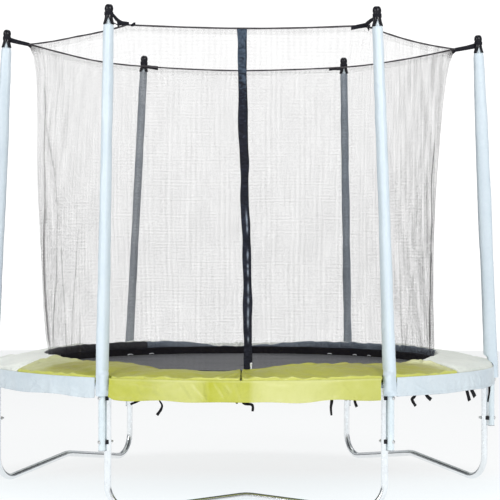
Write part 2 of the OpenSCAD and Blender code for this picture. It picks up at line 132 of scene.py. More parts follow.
class Waves:
    """Smooth seeded noise: a sum of sine waves over two or three coordinates."""

    def __init__(self, seed, scale, n=14, spread=1.6, dims=2, stretch=None):
        rng = np.random.RandomState(seed)
        k = rng.normal(size=(n, dims))
        k /= np.linalg.norm(k, axis=1)[:, None]
        f = (TAU / scale) * spread ** rng.uniform(-1, 1, n)
        self.k = k * f[:, None]
        if stretch is not None:
            self.k = self.k * np.asarray(stretch, float)[None, :]
        self.p = rng.uniform(0, TAU, n)
        self.a = rng.uniform(0.5, 1, n)
        self.a /= math.sqrt((self.a**2).sum() / 2)

    def __call__(self, *c):
        c = np.stack([np.asarray(x, float) for x in np.broadcast_arrays(*c)], -1)
        return (np.sin(c @ self.k.T + self.p) * self.a).sum(-1)


def smooth(x, a, b):
    t = np.clip((np.asarray(x, float) - a) / (b - a), 0, 1)
    return t * t * (3 - 2 * t)


# ------------------------------------------------------------------ meshes
def mesh_obj(name, verts, faces, materials, smooth_shade=True, face_mats=None):
    me = bpy.data.meshes.new(name)
    me.from_pydata([tuple(v) for v in np.asarray(verts, float)], [], [tuple(int(i) for i in f) for f in faces])
    me.update()
    for m in materials if isinstance(materials, (list, tuple)) else [materials]:
        me.materials.append(m)
    if face_mats is not None:
        me.polygons.foreach_set("material_index", np.asarray(face_mats, np.int32))
    me.polygons.foreach_set("use_smooth", [smooth_shade] * len(me.polygons))
    ob = bpy.data.objects.new(name, me)
    scene.collection.objects.link(ob)
    return ob


def set_attr(ob, name, values):
    """Stores a vector for each vertex, so a material follows the cloth when it moves."""
    at = ob.data.attributes.get(name) or ob.data.attributes.new(name, "FLOAT_VECTOR", "POINT")
    at.data.foreach_set("vector", np.asarray(values, np.float32).reshape(-1))


def coords(ob):
    co = np.empty(len(ob.data.vertices) * 3)
    ob.data.vertices.foreach_get("co", co)
    return co.reshape(-1, 3)


def put_coords(ob, co):
    ob.data.vertices.foreach_set("co", np.asarray(co, float).reshape(-1))
    ob.data.update()


def cyl_attr(ob, r=1.1):
    """Cloth coordinates round the trampoline: arc length, height, radius."""
    co = coords(ob)
    az = np.arctan2(co[:, 1], co[:, 0])
    # the cut of atan2 lies at the back left, inside one pad
    set_attr(ob, "cloth", np.stack([az * r, co[:, 2], np.hypot(co[:, 0], co[:, 1])], 1))


def grid_faces(nu, nv, closed_u=False, closed_v=False, flip=False, start=0):
    out = []
    for j in range(nv if closed_v else nv - 1):
        for i in range(nu if closed_u else nu - 1):
            a = start + j * nu + i
            b = start + j * nu + (i + 1) % nu
            c = start + ((j + 1) % nv) * nu + (i + 1) % nu
            d = start + ((j + 1) % nv) * nu + i
            out.append((a, d, c, b) if flip else (a, b, c, d))
    return out


def sweep(path, radius, sides=10, closed=False, caps=True, flat=None, up=None, twist=None):
    """Tube, or a flat band with flat=(width, thickness), along points. Returns vertices and faces."""
    p = np.asarray(path, float)
    n = len(p)
    if closed:
        d = np.roll(p, -1, 0) - np.roll(p, 1, 0)
    else:
        d = np.gradient(p, axis=0)
    d /= np.linalg.norm(d, axis=1)[:, None]
    if up is None:
        ref = np.array([0, 0, 1.0]) if abs(d[0][2]) < 0.9 else np.array([1.0, 0, 0])
        e = np.cross(d[0], ref)
        e /= np.linalg.norm(e)
        es = [e]
        for i in range(1, n):
            e = es[-1] - d[i] * np.dot(es[-1], d[i])
            e /= np.linalg.norm(e)
            es.append(e)
        es = np.array(es)
    else:
        ups = np.broadcast_to(np.asarray(up, float), p.shape)
        es = np.cross(d, ups)
        es /= np.linalg.norm(es, axis=1)[:, None]
    fs = np.cross(es, d)
    if twist is not None:
        c, s = np.cos(twist)[:, None], np.sin(twist)[:, None]
        es, fs = es * c + fs * s, fs * c - es * s
    ang = np.arange(sides) * TAU / sides
    r = np.broadcast_to(np.asarray(radius, float), (n,))
    if flat is None:
        x, y = np.cos(ang), np.sin(ang)
        v = p[:, None] + (es[:, None] * x[None, :, None] + fs[:, None] * y[None, :, None]) * r[:, None, None]
    else:
        w = np.broadcast_to(np.asarray(flat[0], float), (n,)) / 2
        t = np.broadcast_to(np.asarray(flat[1], float), (n,)) / 2
        sx = np.sign(np.cos(ang)) * np.abs(np.cos(ang)) ** 0.35
        sy = np.sign(np.sin(ang)) * np.abs(np.sin(ang)) ** 0.35
        v = (
            p[:, None]
            + fs[:, None] * sx[None, :, None] * w[:, None, None]
            + es[:, None] * sy[None, :, None] * t[:, None, None]
        )
    v = v.reshape(-1, 3)
    f = grid_faces(sides, n, closed_u=True, closed_v=closed, flip=True)
    if caps and not closed:
        f.append(tuple(range(sides)))
        f.append(tuple((n - 1) * sides + i for i in reversed(range(sides))))
    return v, f


def lathe(profile, sides=48, matrix=None, closed_bottom=False):
    """Surface of revolution about +Z from (r, z) pairs; r = 0 points are shared."""
    verts, rings = [], []
    for r, z in profile:
        if r < 1e-9:
            rings.append([len(verts)])
            verts.append((0, 0, z))
        else:
            rings.append(list(range(len(verts), len(verts) + sides)))
            verts += [(r * math.cos(TAU * i / sides), r * math.sin(TAU * i / sides), z) for i in range(sides)]
    faces = []
    for a, b in zip(rings, rings[1:]):
        for i in range(sides):
            j = (i + 1) % sides
            if len(a) == 1 and len(b) == 1:
                continue
            if len(a) == 1:
                faces.append((a[0], b[j], b[i]))
            elif len(b) == 1:
                faces.append((a[i], a[j], b[0]))
            else:
                faces.append((a[i], a[j], b[j], b[i]))
    verts = np.array(verts, float)
    if matrix is not None:
        verts = xf(matrix, verts)
    return verts, faces


def xf(matrix, pts):
    m = np.array(matrix, float)
    return np.asarray(pts, float) @ m[:3, :3].T + m[:3, 3]


class Parts:
    """Gathers several pieces of mesh into one object."""

    def __init__(self):
        self.v, self.f, self.m, self.n = [], [], [], 0

    def add(self, v, f, mat=0):
        v = np.asarray(v, float)
        self.v.append(v)
        self.f += [tuple(i + self.n for i in face) for face in f]
        self.m += [mat] * len(f)
        self.n += len(v)

    def obj(self, name, materials, smooth_shade=True):
        return mesh_obj(name, np.concatenate(self.v), self.f, materials, smooth_shade, self.m)


def soft_box(lo, hi, bevel, segments=2):
    """Vertices and faces of a box with rounded edges."""
    import bmesh

    bm = bmesh.new()
    bmesh.ops.create_cube(bm, size=1)
    lo, hi = np.array(lo, float), np.array(hi, float)
    for v in bm.verts:
        v.co = Vector(lo + (np.array(v.co) + 0.5) * (hi - lo))
    bmesh.ops.bevel(bm, geom=bm.edges[:], offset=bevel, segments=segments, profile=0.5, affect="EDGES")
    bm.verts.index_update()
    v = [tuple(x.co) for x in bm.verts]
    f = [tuple(x.index for x in p.verts) for p in bm.faces]
    bm.free()
    return np.array(v), f


def apply_modifiers(ob):
    deps = bpy.context.evaluated_depsgraph_get()
    me = bpy.data.meshes.new_from_object(ob.evaluated_get(deps))
    ob.modifiers.clear()
    old = ob.data
    ob.data = me
    bpy.data.meshes.remove(old)


# ------------------------------------------------------------------ materials
class Nodes:
    def __init__(self, name):
        self.m = bpy.data.materials.new(name)
        self.m.use_nodes = True
        self.t = self.m.node_tree
        self.b = self.t.nodes["Principled BSDF"]
        self.out = self.t.nodes["Material Output"]

    def new(self, kind, **props):
        n = self.t.nodes.new(kind)
        for k, v in props.items():
            setattr(n, k, v)
        return n

    def link(self, a, b):
        self.t.links.new(a, b)

    def put(self, sock, val):
        if isinstance(val, bpy.types.NodeSocket):
            self.link(val, sock)
        else:
            sock.default_value = val

    def vec(self, source="object"):
        if source == "object":
            return self.new("ShaderNodeTexCoord").outputs["Object"]
        n = self.new("ShaderNodeAttribute", attribute_name=source)
        return n.outputs["Vector"]

    def scaled(self, vec, s):
        n = self.new("ShaderNodeMapping")
        self.link(vec, n.inputs["Vector"])
        n.inputs["Scale"].default_value = s
        return n.outputs["Vector"]

    def split(self, vec):
        n = self.new("ShaderNodeSeparateXYZ")
        self.link(vec, n.inputs[0])
        return n.outputs

    def math(self, op, a, b=0.0, c=None, clamp=False):
        n = self.new("ShaderNodeMath", operation=op)
        n.use_clamp = clamp
        self.put(n.inputs[0], a)
        self.put(n.inputs[1], b)
        if c is not None:
            self.put(n.inputs[2], c)
        return n.outputs[0]

    def noise(self, vec, scale, detail=3.0, rough=0.5, distortion=0.0):
        n = self.new("ShaderNodeTexNoise")
        self.link(vec, n.inputs["Vector"])
        n.inputs["Scale"].default_value = scale
        n.inputs["Detail"].default_value = detail
        n.inputs["Roughness"].default_value = rough
        n.inputs["Distortion"].default_value = distortion
        return n.outputs["Fac"]

    def voronoi(self, vec, scale, feature="F1", out="Distance"):
        n = self.new("ShaderNodeTexVoronoi", feature=feature)
        self.link(vec, n.inputs["Vector"])
        n.inputs["Scale"].default_value = scale
        return n.outputs[out]

    def ramp(self, fac, stops, mode="LINEAR"):
        n = self.new("ShaderNodeValToRGB")
        n.color_ramp.interpolation = mode
        e = n.color_ramp.elements
        while len(e) < len(stops):
            e.new(0.5)
        for s, (pos, col) in zip(e, stops):
            s.position = pos
            col = (col, col, col) if isinstance(col, (int, float)) else col
            s.color = (*col, 1)
        self.link(fac, n.inputs["Fac"])
        return n.outputs["Color"]

    def remap(self, fac, a, b, c, d):
        n = self.new("ShaderNodeMapRange")
        self.put(n.inputs["Value"], fac)
        n.inputs["From Min"].default_value, n.inputs["From Max"].default_value = a, b
        n.inputs["To Min"].default_value, n.inputs["To Max"].default_value = c, d
        return n.outputs["Result"]

    def bump(self, height, strength, distance, normal=None):
        n = self.new("ShaderNodeBump")
        n.inputs["Strength"].default_value = strength
        n.inputs["Distance"].default_value = distance
        self.link(height, n.inputs["Height"])
        if normal is not None:
            self.link(normal, n.inputs["Normal"])
        return n.outputs["Normal"]

    def mix(self, fac, a, b):
        n = self.new("ShaderNodeMix", data_type="RGBA")
        self.put(n.inputs["Factor"], fac)
        for s, v in ((n.inputs["A"], a), (n.inputs["B"], b)):
            pass
        self.put(n.inputs[6], a if isinstance(a, bpy.types.NodeSocket) else (*a, 1))
        self.put(n.inputs[7], b if isinstance(b, bpy.types.NodeSocket) else (*b, 1))
        return n.outputs[2]

    def weave(self, vec, pitch):
        """Height of a plain weave over the first two coordinates."""
        x, y = self.split(vec)[:2]
        k = TAU / pitch
        sx = self.math("SINE", self.math("MULTIPLY", x, k))
        sy = self.math("SINE", self.math("MULTIPLY", y, k))
        return self.math("MULTIPLY", sx, sy)

    def set(self, **kw):
        names = {
            "color": "Base Color", "rough": "Roughness", "metal": "Metallic", "normal": "Normal",
            "coat": "Coat Weight", "coat_rough": "Coat Roughness", "sheen": "Sheen Weight",
            "sheen_rough": "Sheen Roughness", "spec": "Specular IOR Level", "alpha": "Alpha",
            "sss": "Subsurface Weight", "aniso": "Anisotropic",
        }
        for k, v in kw.items():
            if k == "color" and not isinstance(v, bpy.types.NodeSocket):
                v = (*v, 1)
            self.put(self.b.inputs[names[k]], v)
        return self.m


def coated_fabric(name, light, dark, rough=0.42, source="cloth", pitch=0.0011, coat=0.12, wrinkle=0.5, right=None):
    """PVC-coated polyester: fine weave under a soft gloss, with handling creases and faint dirt."""
    n = Nodes(name)
    v = n.vec(source)
    big = n.noise(v, 4.0, 4, 0.55)
    fine = n.noise(v, 60, 3, 0.6)
    speck = n.noise(v, 700, 2, 0.6)
    tone = n.math("ADD", n.math("MULTIPLY", big, 0.7), n.math("MULTIPLY", fine, 0.3))
    col = n.ramp(tone, [(0.34, dark), (0.56, light)])
    if right is not None:
        # painted shade: the right half of the cover, by its x position, is given a deeper tone
        x = n.split(n.vec("object"))[0]
        side = n.remap(n.math("ADD", x, n.math("MULTIPLY", n.math("SUBTRACT", big, 0.5), 0.12)), 0.0, 0.05, 0.0, 1.0)
        n2 = n.ramp(tone, [(0.34, tuple(c * 0.9 for c in right)), (0.56, right)])
        col = n.mix(side, col, n2)
    col = n.mix(n.remap(speck, 0.62, 0.8, 0.0, 0.16), col, tuple(c * 0.75 for c in dark))
    crease = n.noise(n.scaled(v, (6, 14, 14)), 1.0, 5, 0.62, 0.6)
    creases = n.math("ABSOLUTE", n.math("SUBTRACT", crease, 0.5))
    nrm = n.bump(creases, wrinkle, 0.006)
    nrm = n.bump(n.noise(v, 26, 4, 0.6), wrinkle * 0.6, 0.002, nrm)
    nrm = n.bump(n.weave(v, pitch), 0.25, 0.0001, nrm)
    return n.set(color=col, rough=n.remap(fine, 0.3, 0.7, rough - 0.05, rough + 0.08), normal=nrm,
                 coat=coat, coat_rough=0.35, sheen=0.05)


def lime_fabric(name, deep, pale, tones, wrinkle):
    """Lime cover cloth. Its "tints" attribute gives the mix to the paler colour (fading on the pads, painted light and
    shade on the front skirt), a painted highlight along the rim and painted shade near the poles.
    """
    m = coated_fabric(name, deep, tuple(c * 0.86 for c in deep), wrinkle=wrinkle)
    n = Nodes.__new__(Nodes)
    n.m, n.t = m, m.node_tree
    n.b = n.t.nodes["Principled BSDF"]
    link = n.b.inputs["Base Color"].links[0]
    base = link.from_socket
    v = n.vec("cloth")
    cloud = n.noise(v, 14, 4, 0.6)
    streak = n.noise(n.scaled(v, (3.0, 22.0, 9.0)), 1.0, 4, 0.6)
    t = n.split(n.vec("tints"))
    # mix to the paler colour: fading on the pads, painted light and shade on the front skirt
    fading_and_painted_light = n.math("ADD", t[0], n.math("MULTIPLY", n.math("SUBTRACT", cloud, 0.5), tones[0]), clamp=True)
    col = n.mix(fading_and_painted_light, base, pale)
    if len(tones) > 1:
        # painted highlight along the rounded rim
        rim = n.math("MULTIPLY", t[1], n.remap(streak, 0.3, 0.7, 0.7, 1.0))
        col = n.mix(rim, col, tones[1])
        # painted shade near the poles
        painted_pole_shade = n.math("MULTIPLY", t[2], n.remap(streak, 0.35, 0.6, 0.35, 1.0))
        col = n.mix(painted_pole_shade, col, tones[2])
    n.link(col, n.b.inputs["Base Color"])
    return m


PALE_L, PALE_D = (0.665, 0.735, 0.775), (0.590, 0.670, 0.720)
# the pad tops and the front skirt are one lime cloth: the tops get a darker copy, painted shade, and the skirt a
# lighter one; the tops' extra colours are a painted highlight for the rim and painted shade near the poles
M_LIME = lime_fabric("lime_cover", (0.362, 0.366, 0.016), (0.590, 0.600, 0.340),
                     (0.12, (0.600, 0.620, 0.120), (0.285, 0.255, 0.026)), 0.5)
M_LIME_SKIRT = lime_fabric("lime_skirt", (0.468, 0.482, 0.026), (0.645, 0.650, 0.238), (0.50,), 0.7)
M_PALE = coated_fabric("pale_cover", PALE_L, PALE_D, wrinkle=0.6)
# painted light: the pale pad tops are lighter, greener copies of the pale cover, and the left pads' copy is lighter
# still
M_PALE_TOP = coated_fabric("pale_top", (0.760, 0.785, 0.715), (0.665, 0.700, 0.640), wrinkle=0.6)
M_PALE_TOP_L = coated_fabric("pale_top_left", (0.900, 0.920, 0.850), (0.800, 0.830, 0.765), wrinkle=0.6)
# painted shade: slate and near-black cloth for the pads' inner faces, which lie in shade
M_RIM_SHADE = coated_fabric("rim_painted_shade", (0.165, 0.205, 0.255), (0.085, 0.115, 0.155), wrinkle=0.6)
M_DEEP_RIM_SHADE = coated_fabric("deep_rim_painted_shade", (0.016, 0.018, 0.024), (0.008, 0.009, 0.012), wrinkle=0.6)
# painted shade: the back sleeves get dark slate copies of the sleeve cover, the back-left one a little lighter
M_BACK_SLEEVE_SHADE = coated_fabric("back_sleeve_painted_shade", (0.290, 0.325, 0.370), (0.160, 0.190, 0.230), rough=0.38, pitch=0.0009,
                              coat=0.1, wrinkle=0.25)
M_BACK_LEFT_SLEEVE_SHADE = coated_fabric("back_left_sleeve_painted_shade", (0.390, 0.415, 0.445), (0.240, 0.265, 0.300), rough=0.38, pitch=0.0009,
                                coat=0.1, wrinkle=0.25)
M_SLEEVE = coated_fabric("sleeve_cover", (0.680, 0.765, 0.825), (0.615, 0.705, 0.770), rough=0.38, pitch=0.0009,
                         coat=0.1, wrinkle=0.25)


def metal(name, light, dark, rough, spangle=0.5, source="object", lines=0.0):
    """Zinc-coated steel: faint crystal spangle, drawn scratches and dull spots."""
    n = Nodes(name)
    v = n.vec(source)
    cells = n.voronoi(v, 90, out="Color")
    grey = n.new("ShaderNodeRGBToBW")
    n.link(cells, grey.inputs[0])
    clouds = n.noise(v, 9, 5, 0.6)
    tone = n.math("ADD", n.math("MULTIPLY", grey.outputs[0], spangle), n.math("MULTIPLY", clouds, 1 - spangle))
    col = n.ramp(tone, [(0.15, dark), (0.85, light)])
    scratch = n.noise(n.scaled(v, (220, 220, 14)), 1.0, 2, 0.5)
    r = n.math("ADD", n.remap(tone, 0.2, 0.8, rough + 0.07, rough - 0.05), n.remap(scratch, 0.3, 0.8, 0.0, 0.1))
    nrm = n.bump(scratch, 0.05, 0.0003)
    nrm = n.bump(clouds, 0.03, 0.002, nrm)
    return n.set(color=col, rough=r, metal=1.0, normal=nrm)


M_GALV = metal("galvanised_tube", (0.93, 0.95, 0.965), (0.83, 0.85, 0.865), 0.15, 0.35)
M_ZINC = metal("zinc_fasteners", (0.74, 0.74, 0.73), (0.55, 0.55, 0.55), 0.30, 0.3)
M_WIRE = metal("zinc_wire", (0.66, 0.67, 0.68), (0.48, 0.49, 0.50), 0.32, 0.2)


def paint(name, light, dark, rough=0.22):
    """Gloss powder coat: orange peel, faint dust and rubbed spots."""
    n = Nodes(name)
    v = n.vec()
    cloud = n.noise(v, 7, 4, 0.6)
    peel = n.noise(v, 900, 2, 0.5)
    dust = n.noise(v, 55, 5, 0.7)
    col = n.ramp(n.math("ADD", n.math("MULTIPLY", cloud, 0.7), n.math("MULTIPLY", dust, 0.3)),
                 [(0.35, dark), (0.6, light)])
    nrm = n.bump(peel, 0.06, 0.0002)
    return n.set(color=col, rough=n.remap(dust, 0.35, 0.75, rough, rough + 0.15), normal=nrm, coat=0.35,
                 coat_rough=0.12)


M_TUBE = paint("white_tube", (0.74, 0.82, 0.86), (0.66, 0.745, 0.79))


def plastic(name, light, dark, rough, bump=0.08, coat=0.0):
    n = Nodes(name)
    v = n.vec()
    grain = n.noise(v, 1300, 2, 0.5)
    cloud = n.noise(v, 35, 4, 0.6)
    col = n.ramp(cloud, [(0.3, dark), (0.7, light)])
    nrm = n.bump(grain, bump, 0.0002)
    nrm = n.bump(cloud, 0.05, 0.001, nrm)
    return n.set(color=col, rough=n.remap(cloud, 0.3, 0.7, rough - 0.03, rough + 0.08), normal=nrm, coat=coat,
                 coat_rough=0.1)


M_CAP = plastic("black_plastic", (0.010, 0.010, 0.014), (0.005, 0.005, 0.008), 0.20, 0.03, 0.0)
M_CAP.node_tree.nodes["Principled BSDF"].inputs["Specular IOR Level"].default_value = 0.28
M_PLUG = plastic("grey_plastic", (0.52, 0.54, 0.56), (0.42, 0.44, 0.46), 0.5)
M_WHITE = plastic("white_plastic", (0.86, 0.88, 0.89), (0.76, 0.78, 0.80), 0.25, 0.04, 0.2)


def webbing(name, light, dark, pitch=0.0024, source="object", rough=0.62, sheen=0.05, spec=0.12):
    """Woven polyester tape: ribs one way, picks the other, fuzzy edges."""
    n = Nodes(name)
    v = n.vec(source)
    w = n.weave(v, pitch)
    cloud = n.noise(v, 24, 4, 0.6)
    tone = n.math("ADD", n.math("MULTIPLY", w, 0.16), cloud)
    col = n.ramp(tone, [(0.3, dark), (0.72, light)])
    nrm = n.bump(w, 0.5, 0.0004)
    nrm = n.bump(n.noise(v, 60, 4, 0.6), 0.35, 0.002, nrm)
    return n.set(color=col, rough=n.remap(cloud, 0.3, 0.7, rough - 0.06, rough + 0.1), normal=nrm, sheen=sheen,
                 sheen_rough=0.4, spec=spec)


M_WEB = webbing("black_webbing", (0.018, 0.018, 0.024), (0.008, 0.008, 0.012))
M_BORDER = webbing("border_cloth", (0.008, 0.008, 0.012), (0.003, 0.003, 0.005), 0.0016, "cloth", 0.7, 0.02, 0.10)
M_CORD = webbing("black_cord", (0.014, 0.014, 0.016), (0.005, 0.005, 0.006), 0.0016, "object", 0.7, 0.05)
M_HEM = webbing("hem_cord", (0.110, 0.100, 0.108), (0.045, 0.041, 0.044), 0.0016, "object", 0.8, 0.05)


def strip_material():
    """Door strip: shiny coated nylon that is greyer towards its top, crossed by short creases."""
    n = Nodes("door_strip_cloth")
    v = n.vec("cloth")
    x, y, _ = n.split(v)
    crease = n.noise(n.scaled(v, (26, 48, 1)), 1.0, 5, 0.65, 1.2)
    fine = n.noise(v, 180, 3, 0.6)
    # painted light: the upper part of the strip is given a lighter, bluer tone
    up = n.remap(n.math("ADD", y, n.math("MULTIPLY", n.math("SUBTRACT", crease, 0.5), 0.9)), 1.20, 1.36, 0.0, 1.0)
    tone = n.math("ADD", n.math("MULTIPLY", crease, 0.8), n.math("MULTIPLY", fine, 0.2))
    # painted highlights: the lower part's crease ridges turn pale blue-grey
    low = n.ramp(tone, [(0.40, (0.005, 0.006, 0.012)), (0.60, (0.013, 0.015, 0.028)), (0.70, (0.055, 0.062, 0.10)),
                        (0.80, (0.20, 0.22, 0.30))])
    high = n.ramp(tone, [(0.35, (0.044, 0.066, 0.098)), (0.70, (0.085, 0.116, 0.160))])
    # painted shade in criss-cross creases up high, and painted highlights, the glints, on tucks lower down
    cross = n.math("ABSOLUTE", n.math("SUBTRACT", n.noise(n.scaled(v, (60, 34, 1)), 1.0, 3, 0.55, 1.5), 0.5))
    high = n.mix(n.remap(cross, 0.0, 0.07, 0.75, 0.0), high, (0.020, 0.028, 0.042))
    col = n.mix(up, low, high)
    # painted highlights: pale blue flecks where the "glints" attribute is set
    glint = n.split(n.vec("glints"))[0]
    col = n.mix(n.math("MULTIPLY", glint, n.remap(fine, 0.35, 0.6, 0.5, 1.0)), col, (0.330, 0.380, 0.460))
    nrm = n.bump(crease, 0.8, 0.006)
    nrm = n.bump(n.weave(v, 0.0012), 0.25, 0.0001, nrm)
    return n.set(color=col, rough=n.remap(fine, 0.3, 0.7, 0.30, 0.45), normal=nrm, coat=0.0, spec=0.15)


M_STRIP = strip_material()


def net_material():
    """Knitted safety net: black threads with open meshes, closer where the net is gathered."""
    n = Nodes("net_mesh")
    v = n.vec("cloth")
    g = n.vec("gathers")
    x, y, _ = n.split(v)
    cover = n.split(g)[0]
    k = 1 / 0.0036
    wob = n.noise(v, 14, 2, 0.5)
    # slack and tight columns of stitches, a finger apart, and fainter rows
    wander = n.math("MULTIPLY", n.noise(n.scaled(v, (3.0, 2.6, 1)), 1.0, 2, 0.5), 9.0)
    column = n.math("SINE", n.math("ADD", n.math("MULTIPLY", x, TAU / 0.026), wander))
    drop = n.math("MULTIPLY", n.noise(n.scaled(v, (2.0, 2.4, 1)), 1.0, 2, 0.5), 12.0)
    row = n.math("SINE", n.math("ADD", n.math("MULTIPLY", y, TAU / 0.0155), drop))
    patch = n.noise(n.scaled(v, (7.0, 5.0, 1)), 1.0, 4, 0.6)
    vary = n.math("ADD", n.math("MULTIPLY", column, 0.15), n.math("MULTIPLY", row, 0.15))
    vary = n.math("ADD", vary, n.remap(patch, 0.25, 0.75, -0.20, 0.20))
    wide = n.math("MULTIPLY", cover, n.math("ADD", 1.0, vary))
    fx = n.math("PINGPONG", n.math("ADD", n.math("MULTIPLY", x, k), n.math("MULTIPLY", wob, 2.4)), 0.5)
    fy = n.math("PINGPONG", n.math("ADD", n.math("MULTIPLY", y, k), n.math("MULTIPLY", wob, 1.7)), 0.5)
    near = n.math("MINIMUM", fx, fy)
    # cover is half a thread's width as a share of the mesh pitch; the fine yarn lets some light past
    thread = n.math("MULTIPLY", n.math("LESS_THAN", near, n.math("MULTIPLY", wide, 1.5)), 0.68)
    tint = n.noise(v, 90, 2, 0.5)
    col = n.ramp(tint, [(0.3, (0.020, 0.017, 0.019)), (0.7, (0.042, 0.036, 0.038))])
    n.set(color=col, rough=0.8, sheen=0.05, sheen_rough=0.5, spec=0.05)
    clear = n.new("ShaderNodeBsdfTransparent")
    mix = n.new("ShaderNodeMixShader")
    n.link(thread, mix.inputs[0])
    n.link(clear.outputs[0], mix.inputs[1])
    n.link(n.b.outputs[0], mix.inputs[2])
    n.link(mix.outputs[0], n.out.inputs["Surface"])
    return n.m


M_NET = net_material()


def mat_material():
    """Jumping mat: black polypropylene weave, glossy on the tapes, grey with dust."""
    n = Nodes("mat_weave")
    v = n.vec()
    w = n.weave(v, 0.0042)
    dust = n.noise(v, 3.2, 5, 0.62, 0.4)
    fine = n.noise(v, 130, 3, 0.6)
    x, y, z = n.split(v)
    r = n.math("SQRT", n.math("ADD", n.math("MULTIPLY", x, x), n.math("MULTIPLY", y, y)))
    tone = n.math("ADD", n.math("MULTIPLY", dust, 0.75), n.math("MULTIPLY", fine, 0.25))
    col = n.ramp(tone, [(0.36, (0.034, 0.036, 0.042)), (0.62, (0.072, 0.075, 0.084))])
    # two rows of stitches round the edge
    ring = n.math("MINIMUM", n.math("ABSOLUTE", n.math("SUBTRACT", r, 0.962)),
                  n.math("ABSOLUTE", n.math("SUBTRACT", r, 0.974)))
    stitch = n.math("LESS_THAN", ring, 0.0012)
    nrm = n.bump(w, 0.5, 0.0006)
    nrm = n.bump(n.noise(n.scaled(v, (1.6, 5.5, 1)), 1.0, 4, 0.55), 0.35, 0.03, nrm)
    nrm = n.bump(stitch, 0.4, 0.0006, nrm)
    return n.set(color=col, rough=n.remap(tone, 0.3, 0.7, 0.42, 0.55), normal=nrm, spec=0.45, sheen=0.08)


M_MAT = mat_material()
M_MATWEB = webbing("mat_webbing_cloth", (0.030, 0.030, 0.034), (0.012, 0.012, 0.014), 0.0028)

# ------------------------------------------------------------------ camera
cam_data = bpy.data.cameras.new("camera")
cam = bpy.data.objects.new("camera", cam_data)
scene.collection.objects.link(cam)
scene.camera = cam
cam_data.sensor_width = 36
cam_data.sensor_fit = "HORIZONTAL"
cam_data.lens = 124.659
cam_data.clip_end = 200
yaw, pitch, roll = 0.02331, 0.00148, 0.00135
cy, sy, cp, sp, cr, sr = (math.cos(yaw), math.sin(yaw), math.cos(pitch), math.sin(pitch), math.cos(roll),
                          math.sin(roll))
right0, up0 = Vector((cy, -sy, 0)), Vector((sp * sy, sp * cy, cp))
fwd = Vector((cp * sy, cp * cy, -sp))
right, up = right0 * cr + up0 * sr, up0 * cr - right0 * sr
cam.matrix_world = Matrix((
    (right.x, up.x, -fwd.x, -0.16052),
    (right.y, up.y, -fwd.y, -8.53774),
    (right.z, up.z, -fwd.z, 1.15546),
    (0, 0, 0, 1),
))

# ------------------------------------------------------------------ stage and light
def floor_material():
    n = Nodes("studio_floor")
    v = n.vec()
    n.set(color=(0.165, 0.168, 0.172), rough=0.7, spec=0.1)
    # painted light: the floor glows, a little brighter and bluer towards the front
    near = n.ramp(n.remap(n.split(v)[1], -0.55, 0.45, 0.0, 1.0), [(0.0, (1.07, 1.12, 1.145)), (0.5, (1.03, 1.07, 1.085)), (1.0, (0.99, 1.0, 1.0))])
    n.link(near, n.b.inputs["Emission Color"])
    n.b.inputs["Emission Strength"].default_value = 0.79
    return n.m


fv = [(0, 0, -0.0004)] + [(11.2 * math.cos(TAU * i / 96), 11.2 * math.sin(TAU * i / 96), -0.0004) for i in range(96)]
floor = mesh_obj("floor", fv, [(0, 1 + i, 1 + (i + 1) % 96) for i in range(96)], floor_material())

world = bpy.data.worlds.new("studio")
scene.world = world
world.use_nodes = True
wt = world.node_tree
wt.nodes.clear()
w_out = wt.nodes.new("ShaderNodeOutputWorld")
w_mix = wt.nodes.new("ShaderNodeMixShader")
w_path = wt.nodes.new("ShaderNodeLightPath")
w_seen = wt.nodes.new("ShaderNodeBackground")
w_seen.inputs[0].default_value = (1, 1, 1, 1)
w_seen.inputs[1].default_value = 1.12
w_light = wt.nodes.new("ShaderNodeBackground")
w_co = wt.nodes.new("ShaderNodeTexCoord")
w_sep = wt.nodes.new("ShaderNodeSeparateXYZ")
w_ramp = wt.nodes.new("ShaderNodeValToRGB")
e = w_ramp.color_ramp.elements
stops = [(0.0, (0.98, 0.99, 1.0)), (0.30, (0.98, 0.99, 1.0)), (0.56, (0.80, 0.82, 0.85)), (0.64, (0.16, 0.17, 0.19)),
         (0.84, (0.16, 0.17, 0.19)), (0.91, (1.0, 1.0, 1.0)), (1.0, (1.0, 1.0, 1.0))]
while len(e) < len(stops):
    e.new(0.5)
for s_, (pos, c_) in zip(e, stops):
    s_.position = pos
    s_.color = (*c_, 1)
wt.links.new(w_co.outputs["Generated"], w_sep.inputs[0])
wt.links.new(w_sep.outputs[2], w_ramp.inputs[0])
# two tall dark flags stand behind the trampoline on both sides, and draw the edges of its tubes
w_side = wt.nodes.new("ShaderNodeMath")
w_side.operation = "ABSOLUTE"
wt.links.new(w_sep.outputs[0], w_side.inputs[0])
w_flag = wt.nodes.new("ShaderNodeValToRGB")
e = w_flag.color_ramp.elements
flag = [(0.0, 0.0), (0.36, 0.0), (0.48, 1.0), (1.0, 1.0)]
while len(e) < len(flag):
    e.new(0.5)
for s_, (pos, c_) in zip(e, flag):
    s_.position = pos
    s_.color = (c_, c_, c_, 1)
wt.links.new(w_side.outputs[0], w_flag.inputs[0])
w_back = wt.nodes.new("ShaderNodeMapRange")
wt.links.new(w_sep.outputs[1], w_back.inputs["Value"])
w_back.inputs["From Min"].default_value, w_back.inputs["From Max"].default_value = -0.40, -0.15
w_back.inputs["To Min"].default_value, w_back.inputs["To Max"].default_value = 0.0, 0.88
w_amount = wt.nodes.new("ShaderNodeMath")
w_amount.operation = "MULTIPLY"
w_high = wt.nodes.new("ShaderNodeMath")
w_high.operation = "ABSOLUTE"
wt.links.new(w_sep.outputs[2], w_high.inputs[0])
w_low = wt.nodes.new("ShaderNodeMapRange")
wt.links.new(w_high.outputs[0], w_low.inputs["Value"])
w_low.inputs["From Min"].default_value, w_low.inputs["From Max"].default_value = 0.22, 0.34
